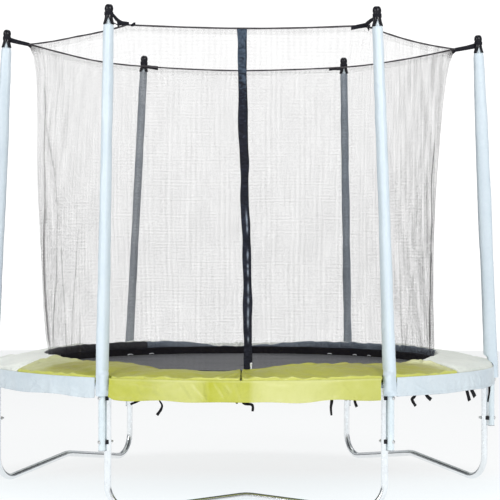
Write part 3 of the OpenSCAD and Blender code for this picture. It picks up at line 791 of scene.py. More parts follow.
w_low.inputs["To Min"].default_value, w_low.inputs["To Max"].default_value = 1.0, 0.0
w_both = wt.nodes.new("ShaderNodeMath")
w_both.operation = "MULTIPLY"
wt.links.new(w_back.outputs[0], w_both.inputs[0])
wt.links.new(w_low.outputs[0], w_both.inputs[1])
wt.links.new(w_flag.outputs[0], w_amount.inputs[0])
wt.links.new(w_both.outputs[0], w_amount.inputs[1])
w_dark = wt.nodes.new("ShaderNodeMix")
w_dark.data_type = "RGBA"
wt.links.new(w_amount.outputs[0], w_dark.inputs["Factor"])
wt.links.new(w_ramp.outputs[0], w_dark.inputs[6])
w_dark.inputs[7].default_value = (0.10, 0.11, 0.13, 1)
wt.links.new(w_dark.outputs[2], w_light.inputs[0])
w_light.inputs[1].default_value = 0.68
wt.links.new(w_path.outputs["Is Camera Ray"], w_mix.inputs[0])
wt.links.new(w_light.outputs[0], w_mix.inputs[1])
wt.links.new(w_seen.outputs[0], w_mix.inputs[2])
wt.links.new(w_mix.outputs[0], w_out.inputs[0])


def area(name, loc, target, size, power):
    ld = bpy.data.lights.new(name, "AREA")
    ld.shape = "DISK"
    ld.size = size
    ld.energy = power
    lo = bpy.data.objects.new(name, ld)
    scene.collection.objects.link(lo)
    lo.location = loc
    lo.rotation_euler = (Vector(target) - Vector(loc)).to_track_quat("-Z", "Y").to_euler()
    return lo


area("key", (3.4, -7.4, 4.6), (0, 0, 0.8), 2.8, 285)
area("fill", (-6.0, -5.5, 3.6), (0, 0, 0.9), 3.5, 170)
area("top", (0.5, 1.0, 7.0), (0, 0, 0.6), 3.5, 190)

# ------------------------------------------------------------------ ties under the pad, each a free cord
# routes as [azimuth, height in millimetres], then the band's width at its start and end
TIES = [
    ([[249.5, 583], [249.5, 540], [248.6, 508], [246.3, 485]], 0.010, 0.010),
    ([[252.2, 583], [252.2, 540], [252.4, 508], [253, 486], [252.8, 467], [252, 443]], 0.006, 0.013),
    ([[267.9, 583], [267.9, 540], [267.9, 500]], 0.008, 0.008),
    ([[269.3, 583], [269.3, 540], [269.2, 500], [270.9, 491], [271, 464]], 0.013, 0.011),
    ([[282.3, 583], [282.3, 540], [282.3, 500]], 0.007, 0.007),
    ([[287, 583], [287, 540], [286.9, 500], [286.7, 474], [286.8, 442]], 0.015, 0.009),
    ([[291.8, 583], [291.8, 540], [291.9, 498], [292.3, 474]], 0.011, 0.013),
    ([[306.9, 583], [306.9, 540], [306.5, 507], [305.8, 496], [306, 483], [306.7, 464]], 0.014, 0.013),
    ([[309.6, 583], [309.6, 540], [309.9, 508], [311.2, 486]], 0.012, 0.017),
    ([[324.3, 583], [324.3, 540], [324.4, 512], [325.4, 461]], 0.014, 0.017),
    ([[326, 583], [326, 540], [326.4, 516], [328.2, 475]], 0.017, 0.020),
    ([[338.7, 583], [338.7, 540], [338.7, 520], [338.2, 481], [336.4, 438]], 0.020, 0.008),
]


def spline(a, b, c, d, u):
    return (2 * b + (c - a) * u + (2 * a - 5 * b + 4 * c - d) * u * u + (3 * b - a - 3 * c + d) * u**3) / 2


for i, (route, w0, w1) in enumerate(TIES):
    p = np.array(route, float)
    m = len(p) - 1
    steps = max(5, 24 // m)
    q = [spline(p[max(a - 1, 0)], p[a], p[a + 1], p[min(a + 2, m)], u / steps) for a in range(m) for u in range(steps)]
    q = np.array(q + [p[m]])
    r = 1.232 + 0.008 * (583 - q[:, 1]) / 140
    az = np.radians(q[:, 0])
    line = np.stack([r * np.cos(az), r * np.sin(az), q[:, 1] / 1000], -1)
    out = np.stack([np.cos(az), np.sin(az), 0 * az], -1)
    d = np.gradient(line, axis=0)
    d /= np.linalg.norm(d, axis=1)[:, None]
    u = np.linspace(0, 1, len(line))
    # the right-hand ties hang with their flat side turned to the front
    face = out + np.array([0, -1.1 if i >= 7 else 0.0, 0])
    side = np.cross(face / np.linalg.norm(face, axis=1)[:, None], d)
    side /= np.linalg.norm(side, axis=1)[:, None]
    wid = (w0 + (w1 - w0) * smooth(u, 0.35, 1.0)) * (1 + 0.05 * np.sin(u * 40 + i))
    v, f = sweep(line, 1, sides=12, flat=(wid, 0.0036 * (1 + 0.08 * np.sin(u * 31 + 2 * i))), up=side,
                 twist=0.35 * np.sin(u * 5 + i) * u * (1 - u))
    tie = mesh_obj("tie_%02d" % (i + 1), v, f, M_CORD)
    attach(tie, "frame")
    if i == 2:
        # the end is tied in a fat knot
        a = np.linspace(0, TAU, 72, endpoint=False)
        c0 = line[-1] + np.array([0, 0, 0.004])
        e = np.array([-out[0][1], out[0][0], 0])
        turn = (c0 + ((np.sin(a) + 2 * np.sin(2 * a)) * 0.0018)[:, None] * e
                + ((np.cos(a) - 2 * np.cos(2 * a)) * 0.0018)[:, None] * np.array([0, 0, 1.0])
                + (-np.sin(3 * a) * 0.0024)[:, None] * out[0])
        kv, kf = sweep(turn, 0.0034, sides=8, closed=True)
        knot = mesh_obj("tie_knot_%02d" % (i + 1), kv, kf, M_CORD)
        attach(knot, "frame")
    if i == 0:
        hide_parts("pad_ties")

# ------------------------------------------------------------------ pole sleeves
# half width outwards and half width round the rim, against height up the sleeve
SLEEVE_SIZE = {
    "fl": ([0, 1.6], [0.0325, 0.0250], [0.0240, 0.0212]), "fr": ([0, 1.6], [0.0325, 0.0250], [0.0240, 0.0212]),
    "r": ([0, 1.2, 1.40, 1.6], [0.0330, 0.0315, 0.0285, 0.0240], [0.0220, 0.0215, 0.0215, 0.0215]),
    "l": ([0, 1.2, 1.40, 1.6], [0.0330, 0.0315, 0.0285, 0.0240], [0.0220, 0.0215, 0.0215, 0.0215]),
    "br": ([0, 1.6], [0.0275, 0.0255], [0.0195, 0.0180]), "bl": ([0, 1.6], [0.0275, 0.0255], [0.0195, 0.0180]),
}


def make_sleeve(k):
    name = NAMES[k]
    n = 64
    top = 1.587 + POLE_RISE[k]
    z = np.concatenate([np.linspace(-0.016, -0.004, 5), np.linspace(0.0, 0.13, 40),
                        np.linspace(0.137, top - 0.042, 210), np.linspace(top - 0.038, top, 16)])
    th = np.arange(n) * TAU / n
    Z, T = np.meshgrid(z, th, indexing="ij")
    zs, wa, wb = SLEEVE_SIZE[name]
    a, b = np.interp(Z, zs, wa), np.interp(Z, zs, wb)
    # rounded shoulder under the cap and rounded lower hem
    sh = np.sqrt(np.clip(1 - ((Z - top + 0.027) / 0.034).clip(0, 1) ** 2, 0, 1))
    lo = np.sqrt(np.clip(1 - ((-0.008 - Z) / 0.012).clip(0, 1) ** 2, 0, 1))
    a = 0.0172 + (a - 0.0172) * np.minimum(sh, 0.45 + 0.55 * lo)
    b = 0.0172 + (b - 0.0172) * np.minimum(sh, 0.45 + 0.55 * lo)
    e = 2 / 2.35
    x = a * np.sign(np.cos(T)) * np.abs(np.cos(T)) ** e
    y = b * np.sign(np.sin(T)) * np.abs(np.sin(T)) ** e
    # slow twist of the cover, soft dents in the foam, short creases
    rng = np.random.RandomState(40 + k)
    slow = Waves(60 + k, 0.55, 10)
    small = Waves(70 + k, 0.085, 14, stretch=(1.0, 0.55))
    fine = Waves(80 + k, 0.028, 16, stretch=(0.8, 1.2))
    arc = T * 0.03
    amp = 0.0007 * slow(arc, Z) + 0.00045 * small(arc, Z) + 0.00016 * fine(arc, Z)
    for _ in range(26):
        zc, tc = rng.uniform(0.02, 1.55), rng.uniform(0, TAU)
        w, l, tilt = rng.uniform(0.003, 0.009), rng.uniform(0.4, 1.3), rng.uniform(-0.03, 0.03)
        dt = (T - tc + math.pi) % TAU - math.pi
        dz = Z - zc - tilt * dt
        amp = amp - rng.uniform(0.0005, 0.0016) * np.exp(-((dz / w) ** 2) - (dt / l) ** 2)
        amp = amp + rng.uniform(0.0002, 0.0008) * np.exp(-(((dz - 1.6 * w) / w) ** 2) - (dt / l) ** 2)
    # the overlapped seam, with its stitched edge, runs down the inner side
    seam = math.pi + 0.35 * math.sin(k * 2.1)
    ds = (T - seam + math.pi) % TAU - math.pi
    amp = amp + 0.0011 * (smooth(ds, -0.26, -0.20) - smooth(ds, 0.20, 0.32))
    amp = amp - 0.0006 * np.exp(-((ds / 0.05) ** 2))
    amp = amp * (0.35 + 0.65 * np.minimum(sh, lo))
    rr = np.hypot(x, y)
    x, y = x * (1 + amp / rr), y * (1 + amp / rr)
    world = xf(POLES[k], np.stack([x, y, Z], -1).reshape(-1, 3)).reshape(len(z), n, 3)
    if name == "fr":
        world[..., 0] -= 0.003 * (1 - smooth(Z, 0.0, 1.0))
    if k < 2:
        # beside the front skirt the sleeve is squeezed flat and spreads in front of the cover's cut end
        c, s = math.cos(d2r(POLE_AZ[k])), math.sin(d2r(POLE_AZ[k]))
        sd = 1 if k == 0 else -1
        rad, tan = world[..., 0] * c + world[..., 1] * s, -world[..., 0] * s + world[..., 1] * c
        w = smooth(world[..., 2], 0.518, 0.540) * (1 - smooth(world[..., 2], 0.602, 0.625))
        dt = np.clip((tan + 0.009 * sd) * sd, 0, None)
        tan = tan + sd * 0.42 * dt * w
        rad = rad + 0.62 * dt * w
        world[..., 0], world[..., 1] = rad * c - tan * s, rad * s + tan * c
    # pressed thin where the pole lies against its leg and the frame ring
    for it in range(2):
        az = d2r(POLE_AZ[k])
        ux, uy = LEG_R * math.cos(az), LEG_R * math.sin(az)
        dx, dy = world[..., 0] - ux, world[..., 1] - uy
        dd = np.hypot(dx, dy)
        w = 1 - smooth(world[..., 2], 0.540, 0.575)
        need = np.clip(0.0176 - dd, 0, None) * w
        world[..., 0] += dx / dd * need
        world[..., 1] += dy / dd * need
        R = np.hypot(world[..., 0], world[..., 1])
        w = smooth(world[..., 2], 0.470, 0.535) * (1 - smooth(world[..., 2], 0.600, 0.632))
        need = np.clip(1.2150 - R, 0, None) * w
        world[..., 0] *= 1 + need / R
        world[..., 1] *= 1 + need / R
    v = world.reshape(-1, 3)
    f = grid_faces(n, len(z), closed_u=True)
    # turn the lower hem in, and close the top onto the tube
    base = len(v)
    inner = [(0.0174, -0.0155), (0.0168, -0.012), (0.0166, 0.012)]
    ring = []
    for r, zz in inner:
        ring.append(xf(POLES[k], np.stack([r * np.cos(th), r * np.sin(th), np.full(n, zz)], -1)))
    v = np.concatenate([v] + ring)
    f += grid_faces(n, 3, closed_u=True, flip=True, start=base)
    for i in range(n):
        j = (i + 1) % n
        f.append((i, base + i, base + j, j))
    top0 = (len(z) - 1) * n
    base2 = len(v)
    v = np.concatenate([v, xf(POLES[k], np.stack([0.0156 * np.cos(th), 0.0156 * np.sin(th), np.full(n, top + 0.0002)], -1))])
    for i in range(n):
        j = (i + 1) % n
        f.append((top0 + i, top0 + j, base2 + j, base2 + i))
    # painted shade: the two back sleeves take the darker copies
    ob = mesh_obj("sleeve_cover_" + name, v, f, {3: M_BACK_SLEEVE_SHADE, 4: M_BACK_LEFT_SLEEVE_SHADE}.get(k, M_SLEEVE))
    at = np.concatenate([np.stack([T * 0.027, Z, 0 * Z], -1).reshape(-1, 3), np.zeros((4 * n, 3))])
    set_attr(ob, "cloth", at)
    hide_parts("sleeve_" + name)
    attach(ob, "frame")
    return ob


for k in range(6):
    make_sleeve(k)


# ------------------------------------------------------------------ caps
CAP = [(0.0240, 0.0), (0.0243, 0.0025), (0.0240, 0.0050), (0.0225, 0.0105), (0.0210, 0.0160), (0.0197, 0.0215),
       (0.0186, 0.0270), (0.0179, 0.0330), (0.0174, 0.0400), (0.0172, 0.0480), (0.0172, 0.0560), (0.0176, 0.0590),
       (0.0186, 0.0620), (0.0191, 0.0655), (0.0192, 0.0690), (0.0188, 0.0735), (0.0178, 0.0780), (0.0160, 0.0820),
       (0.0136, 0.0850), (0.0105, 0.0872), (0.0070, 0.0884), (0.0035, 0.0889)]


def make_cap(k):
    name = NAMES[k]
    n = 96
    prof = np.array(CAP)
    # finer steps along the profile
    s = np.concatenate([[0], np.cumsum(np.hypot(*np.diff(prof, axis=0).T))])
    q = np.linspace(0, s[-1], 60)
    pr, pz = np.interp(q, s, prof[:, 0]), np.interp(q, s, prof[:, 1])
    th = np.arange(n) * TAU / n
    # the V-shaped slot in the flared foot faces out from the front of the trampoline
    front = math.radians(-90) - math.atan2(POLES[k][1][0], POLES[k][0][0])
    d = np.abs((th - front + math.pi) % TAU - math.pi)
    cut = 0.031 * np.clip(1 - d / 0.47, 0, 1) ** 0.9
    V = []
    for i in range(60):
        t = i / 59
        zz = pz[i] + cut * (1 - smooth(pz[i], 0.0, 0.050)) * (1 - t) ** 0.3
        rr = np.interp(zz, prof[:16, 1], prof[:16, 0]) if pz[i] < 0.055 else np.full(n, pr[i])
        V.append(np.stack([rr * np.cos(th), rr * np.sin(th), zz], -1))
    outer = np.concatenate(V)
    inner = []
    for i in range(6):
        t = i / 5
        zz = V[0][:, 2] * (1 - t) + 0.034 * t
        rr = np.maximum(np.interp(zz, prof[:16, 1], prof[:16, 0]) - 0.0022 - 0.0006 * t, 0.0155)
        inner.append(np.stack([rr * np.cos(th), rr * np.sin(th), zz], -1))
    inner = np.concatenate(inner)
    tip = np.array([[0, 0, 0.089]])
    v = np.concatenate([outer, tip, inner])
    f = grid_faces(n, 60, closed_u=True)
    t0 = 59 * n
    f += [(t0 + i, t0 + (i + 1) % n, len(outer)) for i in range(n)]
    b = len(outer) + 1
    f += grid_faces(n, 6, closed_u=True, flip=True, start=b)
    f += [(i, b + i, b + (i + 1) % n, (i + 1) % n) for i in range(n)]
    v = xf(POLES[k] @ Matrix.Translation((0, 0, LEAN_LEN + POLE_RISE[k])), v)
    ob = mesh_obj("pole_cap_" + name, v, f, M_CAP)
    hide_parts("cap_" + name)
    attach(ob, "frame")


for k in range(6):
    make_cap(k)


# ------------------------------------------------------------------ corner straps of the net
def net_corner(k):
    a = d2r(POLE_AZ[k])
    return np.array([(CORNER_R + 0.004) * math.cos(a), (CORNER_R + 0.004) * math.sin(a),
                     float(corner_z(POLE_AZ[k])) + 0.004])


def ribbon(parts, line, up, down, thick=0.0026, n=24, seed=0):
    """Band of cloth along a line, with its own upper and lower edge heights."""
    line = np.asarray(line, float)
    s = np.concatenate([[0], np.cumsum(np.linalg.norm(np.diff(line, axis=0), axis=1))])
    q = np.linspace(0, s[-1], n)
    mid = np.stack([np.interp(q, s, line[:, c]) for c in range(3)], -1)
    hi, lo = np.interp(q, s, up), np.interp(q, s, down)
    d = np.gradient(mid[:, :2], axis=0)
    d /= np.linalg.norm(d, axis=1)[:, None]
    nrm = np.stack([-d[:, 1], d[:, 0], 0 * q], -1)
    cols = 6
    v = []
    for sgn in (1, -1):
        for c in range(cols):
            t = c / (cols - 1)
            bulge = math.sin(math.pi * min(max(t, 0.04), 0.96)) ** 0.4
            p = mid + nrm * (sgn * thick / 2 * bulge + 0.0007 * np.sin(q * 160 + 3 * t + seed))[:, None]
            p[:, 2] = mid[:, 2] + hi + (lo - hi) * t
            v.append(p)
    v = np.array(v).transpose(1, 0, 2)
    order = list(range(cols)) + list(range(2 * cols - 1, cols - 1, -1))
    v = v[:, order]
    m = 2 * cols
    f = grid_faces(m, n, closed_u=True, flip=True)
    f.append(tuple(range(m)))
    f.append(tuple((n - 1) * m + i for i in reversed(range(m))))
    parts.add(v.reshape(-1, 3), f)


# along the strap, as a share of the way from the pole's axis to the net's corner: upper and lower edge
STRAPS = {
    "fl": ([0.15, 0.25, 0.38, 0.50, 0.62, 0.74, 0.88, 1.0], [0.047, 0.039, 0.028, 0.021, 0.015, 0.011, 0.0115, 0.012],
           [0.030, 0.022, 0.0105, 0.0057, -0.001, -0.0066, -0.003, -0.001]),
    "fr": ([0.15, 0.33, 0.50, 0.71, 0.85, 1.0], [0.036, 0.027, 0.023, 0.0195, 0.0155, 0.010],
           [0.018, 0.012, 0.008, 0.000, -0.009, -0.0105]),
    "l": ([0.15, 0.5, 1.0, 1.08], [0.029, 0.018, 0.0055, 0.003], [0.009, 0.001, -0.0085, -0.010]),
    "r": ([0.15, 0.5, 1.0, 1.08], [0.025, 0.014, 0.003, 0.000], [0.003, -0.004, -0.013, -0.014]),
    "bl": ([0.15, 1.0], [0.012, 0.0075], [-0.006, -0.0085]),
    "br": ([0.15, 1.0], [0.014, 0.003], [-0.006, -0.013]),
}
# loose flaps and the thin lower branch, in the same way
FLAPS = {
    "fl": [([0.46, 0.49, 0.53, 0.60, 0.72], [0.006, 0.006, 0.006, 0.004, -0.002], [0.003, -0.015, -0.018, -0.010, -0.007]),
           ([0.20, 0.38, 0.50], [0.0020, -0.0025, -0.0060], [-0.0025, -0.0070, -0.0110])],
    "fr": [([0.62, 0.68, 0.74, 0.82, 0.92], [0.000, -0.002, -0.004, -0.006, -0.008], [-0.008, -0.024, -0.030, -0.020, -0.012]),
           ([0.30, 0.46, 0.60], [-0.0080, -0.0130, -0.0175], [-0.0125, -0.0175, -0.0215])],
    "l": [([0.95, 1.02, 1.10, 1.16], [0.004, 0.003, 0.000, -0.006], [-0.007, -0.013, -0.020, -0.016])],
    "r": [([0.95, 1.02, 1.10, 1.16], [0.002, 0.000, -0.003, -0.008], [-0.010, -0.018, -0.026, -0.020])],
    "bl": [], "br": [],
}
# stiff bars sewn along the hem beside each corner: azimuth, upper and lower edge above or below the corner
BARS = {
    "fl": [([240.0, 240.3, 240.56], [0.012, 0.0115, 0.011], [-0.001, -0.001, -0.0015]),
           ([240.95, 241.2, 241.5, 241.9], [0.001, 0.004, 0.009, 0.010], [-0.008, -0.009, -0.008, -0.002])],
    "fr": [([300.0, 298.4, 296.8], [0.010, 0.003, -0.005], [-0.0105, -0.016, -0.0225])],
    "bl": [([120.0, 118.0, 115.9], [0.0075, 0.004, 0.000], [-0.0085, -0.015, -0.022])],
    "br": [([60.0, 60.9, 61.8], [0.003, 0.000, -0.003], [-0.013, -0.015, -0.0175])],
    "l": [], "r": [],
}

straps = Parts()
for k in range(6):
    name = NAMES[k]
    m = POLES[k] @ Matrix.Translation((0, 0, LEAN_LEN + POLE_RISE[k] + 0.047))
    ax = xf(m, [[0, 0, 0]])[0]
    c = net_corner(k)
    # loop of webbing round the cap's waist
    th = np.linspace(0, TAU, 49)[:-1]
    loop = xf(m, np.stack([0.0188 * np.cos(th), 0.0188 * np.sin(th), 0.0012 * np.sin(3 * th + k)], -1))
    upv = np.array(m.to_3x3() @ Vector((0, 0, 1)))
    v, f = sweep(loop, 1, sides=10, closed=True, flat=(0.0155, 0.0022), up=np.tile(upv, (48, 1)))
    straps.add(v, f)

    def along(share):
        p = ax + (c - ax) * np.asarray(share, float)[:, None]
        p[:, 2] = c[2]
        return p

    share, hi, lo = STRAPS[name]
    spare = 0.0022 if name in ("l", "r") else 0.0010
    hi, lo = np.array(hi) + spare, np.array(lo) - spare
    ribbon(straps, along(share), hi, lo, thick=0.0050, seed=k)
    for share, hi, lo in FLAPS[name]:
        ribbon(straps, along(share), hi, lo, thick=0.0030, n=16, seed=k + 3)
    for az, hi, lo in BARS[name]:
        az = np.array(az)
        r = net_radius(az, 1.0) + 0.0055
        p = np.stack([r * np.cos(np.radians(az)), r * np.sin(np.radians(az)), 0 * az + c[2]], -1)
        ribbon(straps, p, hi, lo, thick=0.0045, n=16, seed=k + 7)
ob = straps.obj("corner_strap_set", M_WEB)
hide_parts("corner_straps")
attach(ob, "frame")


# ------------------------------------------------------------------ net
def net_point(a, t, off=0.0):
    r = net_radius(a, t) + off
    return np.stack([r * np.cos(np.radians(a)) + drift(a, t), r * np.sin(np.radians(a)), net_z(a, t)], -1)


# folds where the slack net hangs doubled: azimuth and height along each, half width, closeness of its threads
NET_FOLDS = [
    ([(186.5, 1.951), (190.5, 1.807), (193.0, 1.503), (193.0, 1.312)], 0.0050, 0.075),
    ([(193.0, 1.36), (192.4, 1.20), (191.8, 1.04), (193.0, 0.90), (194.0, 0.69)], 0.0095, 0.150),
    ([(190.5, 1.807), (195.8, 1.644), (199.8, 1.490), (203.2, 1.333)], 0.0042, 0.060),
    ([(203.2, 1.36), (203.5, 1.143), (202.8, 0.956)], 0.0055, 0.060),
    ([(202.8, 1.00), (201.0, 0.85), (198.2, 0.66)], 0.0050, 0.120),
    ([(206.0, 1.192), (206.8, 1.028), (208.5, 0.864), (209.2, 0.66)], 0.0042, 0.070),
    ([(216.8, 1.259), (216.0, 1.100), (214.5, 0.913), (212.2, 0.66)], 0.0038, 0.055),
    ([(218.2, 0.89), (217.2, 0.66)], 0.0042, 0.060),
    ([(350.5, 1.700), (348.0, 1.481), (348.8, 1.288), (347.5, 1.094)], 0.0060, 0.085),
    ([(347.9, 1.15), (346.5, 0.98), (346.0, 0.904), (341.8, 0.66)], 0.0085, 0.150),
    ([(343.2, 1.619), (343.5, 1.430), (343.2, 1.241), (342.0, 1.086), (343.2, 0.953)], 0.0042, 0.050),
    ([(335.2, 1.614), (334.5, 1.380), (331.5, 1.089), (329.2, 0.911), (326.8, 0.703)], 0.0042, 0.045),
    ([(331.5, 1.073), (326.0, 0.866), (321.2, 0.66)], 0.0042, 0.055),
    ([(321.0, 1.074), (321.0, 0.915), (320.8, 0.66)], 0.0040, 0.050),
    ([(337.8, 1.429), (337.2, 1.191), (337.5, 0.907), (336.5, 0.66)], 0.0045, 0.050),
]

NU, NV = 1440, 120
na = np.arange(NU) * 360.0 / NU
nt = 1 - (1 - np.linspace(0, 1, NV)) ** 1.15
A, T = np.meshgrid(na, nt)
corner = np.exp(-((30 - fold30(A)) / 2.6) ** 2)
wide = np.exp(-((30 - fold30(A)) / 9.0) ** 2)
H = net_z(A, T)
arc = np.radians(A) * 0.95
pleat = Waves(501, 0.030, 16, stretch=(1, 0.012))
fold = Waves(502, 0.16, 12, stretch=(1, 0.09))
soft = Waves(503, 0.45, 12, stretch=(1, 0.6))
off = 0.0022 * pleat(arc, H) * (0.10 + corner) * (0.35 + 0.65 * smooth(T, 0, 0.1))
off += 0.0028 * fold(arc, H) * (0.20 + 0.8 * wide)
off += 0.0020 * soft(arc, H)
gather = 0 * A
for i_, (pts, half, close) in enumerate(NET_FOLDS):
    close = close * (4.2 if i_ in (0, 1, 8, 9) else 2.8)
    half = half * 1.15
    az_, h_ = np.array(pts).T
    o = np.argsort(h_)
    lo, hi = h_.min(), h_.max()
    c = np.interp(H, h_[o], az_[o])
    d = (A - c) * math.pi / 180 * 0.96
    ends = smooth(H, lo - 0.05, lo + 0.03) * (1 - smooth(H, hi - 0.08, hi + 0.02))
    e = np.exp(-((d / half) ** 2)) * ends
    gather = np.maximum(gather, close * e)
    off += 0.55 * half * e - 0.35 * half * np.exp(-(((d - 2.2 * half) / (1.3 * half)) ** 2)) * ends
env = smooth(T, 0.0, 0.06) * (1 - smooth(T, 0.94, 1.0))
# small scallops where the net gathers onto its hem
hem = 0.0014 * np.sin(np.radians(A) * 170) * np.exp(-((1 - T) / 0.03) ** 2)
off = off * env + hem
net_v = net_point(A, T, 0).reshape(-1, 3)
dirv = np.stack([np.cos(np.radians(A)), np.sin(np.radians(A)), 0 * A], -1).reshape(-1, 3)
net_v = net_v + dirv * off.reshape(-1, 1)
net_f = grid_faces(NU, NV, closed_u=True)
net = mesh_obj("net_cloth", net_v, net_f, M_NET)
set_attr(net, "cloth", np.stack([arc, H, 0 * H], -1).reshape(-1, 3))
# the net hangs closer where it turns the corners at the left and right
mirror = np.where(A < 180, 360 - A, A)
left, right = np.exp(-(((mirror - 186) / 24) ** 2)), np.exp(-(((mirror - 352) / 26) ** 2))
cover = 0.0312 + 0.0088 * (1 - smooth(H, 1.1, 1.9)) + left * (0.010 + 0.012 * (1 - smooth(H, 0.9, 1.7)))
cover = cover + right * (0.021 + 0.014 * (1 - smooth(H, 0.9, 1.8)))
rumple = Waves(504, 0.060, 16, stretch=(1, 0.16))(arc, H)
cover = cover * (1 + 0.17 * np.clip(rumple, -1.6, 1.6) * (0.25 + np.maximum(left, 1.9 * right)))
cover = np.maximum(cover, gather)
side = np.maximum(np.exp(-(((A - 180) / 3.5) ** 2)), np.exp(-(((fold30(A) - 30) / 3.5) ** 2)) * (np.cos(np.radians(A)) > 0.9))
cover = cover + 0.110 * side * smooth(H, corner_z(A) - 0.060, corner_z(A) - 0.005)
# the hem is turned over, so the net is double along its top edge
hemline = top_z(A) - H
cover = cover + 0.030 * (1 - smooth(hemline, 0.020, 0.026))
cover = np.clip(cover, 0.012, 0.30)
set_attr(net, "gathers", np.stack([cover, corner, wide], -1).reshape(-1, 3))
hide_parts("net")
p = net_v.reshape(NV, NU, 3)
q = np.roll(p, -1, 1)
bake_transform(net)

# the cord that runs in the stitched fold at the net's top
ca = np.arange(0, 360, 0.75)
cp_ = net_point(ca, np.ones_like(ca))
cp_[:, 2] += 0.0030
v, f = sweep(cp_, 0.0040 + 0.0003 * np.sin(np.radians(ca) * 31), sides=10, closed=True)
ob = mesh_obj("net_hem_cord", v, f, M_HEM)
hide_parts("net_top_cord")
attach(ob, "frame")

# solid lower border of the net, standing on the mat
BU, BV = 720, 12
ba, bt = np.meshgrid(np.arange(BU) * 360.0 / BU, np.linspace(0, 1, BV))
bz = 0.5762 + (0.6135 - 0.5762) * bt
bw = Waves(511, 0.11, 12, stretch=(1, 0.3))
bf_ = Waves(512, 0.030, 14, stretch=(1, 0.25))
bo = (0.0014 * bw(np.radians(ba) * 0.943, bz) + 0.0006 * bf_(np.radians(ba) * 0.943, bz)) * (0.4 + 0.6 * bt)
br = NET_R0 + bo
outer = np.stack([(br + 0.0009) * np.cos(np.radians(ba)), (br + 0.0009) * np.sin(np.radians(ba)), bz], -1)
innr = np.stack([(br - 0.0009) * np.cos(np.radians(ba)), (br - 0.0009) * np.sin(np.radians(ba)), bz], -1)
v = np.concatenate([outer.reshape(-1, 3), innr.reshape(-1, 3)])
f = grid_faces(BU, BV, closed_u=True) + grid_faces(BU, BV, closed_u=True, flip=True, start=BU * BV)
for row, fl in ((0, False), (BV - 1, True)):
    for i in range(BU):
        a, b = row * BU + i, row * BU + (i + 1) % BU
        quad = (a, a + BU * BV, b + BU * BV, b)
        f.append(quad[::-1] if fl else quad)
ob = mesh_obj("net_border_band", v, f, M_BORDER)
cyl_attr(ob, 0.943)
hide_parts("net_border")
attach(ob, "mat")
# binding tape along the border's upper edge
ta = np.arange(0, 360, 0.5)
tp = np.stack([0.9435 * np.cos(np.radians(ta)), 0.9435 * np.sin(np.radians(ta)),
               0.6105 + 0.0006 * np.sin(np.radians(ta) * 23)], -1)
v, f = sweep(tp, 1, sides=10, closed=True, flat=(0.009, 0.0032), up=np.tile([0, 0, 1.0], (len(tp), 1)))
ob = mesh_obj("net_border_tape", v, f, M_WEB)
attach(ob, "mat")

# ------------------------------------------------------------------ door strip and zip
DOOR_A = np.array([0.008, -(NET_R0 + 0.0024), NET_Z0 + 0.003])
DOOR_B = np.array([-0.017, -(MID_R + 0.0024), NET_TOP - 0.025])
DL = float(np.linalg.norm(DOOR_B - DOOR_A))
DD = (DOOR_B - DOOR_A) / DL
DX = np.array([1, 0, 0.0]) - DD * DD[0]
DX /= np.linalg.norm(DX)
DY = np.cross(DD, DX)


def on_door(x, y, z):
    return DOOR_A + np.multiply.outer(x, DX) + np.multiply.outer(y, DY) + np.multiply.outer(z, DD)


SU, SV = 25, 420
su, sv = np.meshgrid(np.linspace(-0.019, 0.019, SU), np.linspace(0, DL + 0.008, SV))
w1 = Waves(521, 0.050, 14, stretch=(0.35, 1.0))
w2 = Waves(522, 0.017, 14, stretch=(0.6, 1.0))
w3 = Waves(523, 0.16, 8, stretch=(0.1, 1.0))
edge = 1 + 0.05 * w3(su, sv)
wide_ = np.interp(sv / DL, [0, 0.05, 0.2, 0.35, 0.5, 0.735, 0.9, 0.95, 1.0], [0.94, 0.98, 1.07, 1.02, 0.96, 1.12, 1.02, 1.05, 1.08])
sx = su * edge * wide_ + 0.0010 * Waves(524, 0.32, 6, dims=1)(sv)
sx = sx + np.interp(sv / DL, [0, 0.2, 0.35, 0.5, 0.735, 1], [-0.001, 0.004, 0.003, -0.0014, -0.0036, -0.003])
so = 0.0011 * w1(su, sv) + 0.0005 * w2(su, sv)
so = so * (0.5 + 0.5 * smooth(sv, 0, 0.06))
outp = DOOR_A + sx[..., None] * DX + (-0.0016 - np.abs(so))[..., None] * DY * 1 + sv[..., None] * DD
inp = DOOR_A + sx[..., None] * DX + (0.0004 - np.abs(so))[..., None] * DY + sv[..., None] * DD
v = np.concatenate([outp.reshape(-1, 3), inp.reshape(-1, 3)])
f = grid_faces(SU, SV) + grid_faces(SU, SV, flip=True, start=SU * SV)
N2 = SU * SV
for j in range(SV - 1):
    a, b = j * SU, (j + 1) * SU
    f.append((a, b, b + N2, a + N2))
    a, b = j * SU + SU - 1, (j + 1) * SU + SU - 1
    f.append((a, a + N2, b + N2, b))
for i in range(SU - 1):
    f.append((i, i + N2, i + 1 + N2, i + 1))
    a = (SV - 1) * SU + i
    f.append((a, a + 1, a + 1 + N2, a + N2))
strip = mesh_obj("door_strip_cloth", v, f, M_STRIP)
at = np.stack([su, sv, 0 * su], -1).reshape(-1, 3)
set_attr(strip, "cloth", np.concatenate([at, at]))
# painted highlights: where the glints lie along the zip
shine = 0 * su
for share, half in ((0.444, 0.020), (0.415, 0.010), (0.338, 0.012), (0.306, 0.006), (0.288, 0.010), (0.241, 0.013), (0.206, 0.009),
                    (0.168, 0.015), (0.141, 0.013), (0.091, 0.007)):
    shine = np.maximum(shine, np.exp(-((((sv / DL) - share) / half) ** 2) - ((su - 0.010 * share - 0.0005) / 0.0034) ** 2))
at = np.stack([shine, 0 * su, 0 * su], -1).reshape(-1, 3)
set_attr(strip, "glints", np.concatenate([at, 0 * at]))
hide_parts("door_strip")
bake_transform(strip)

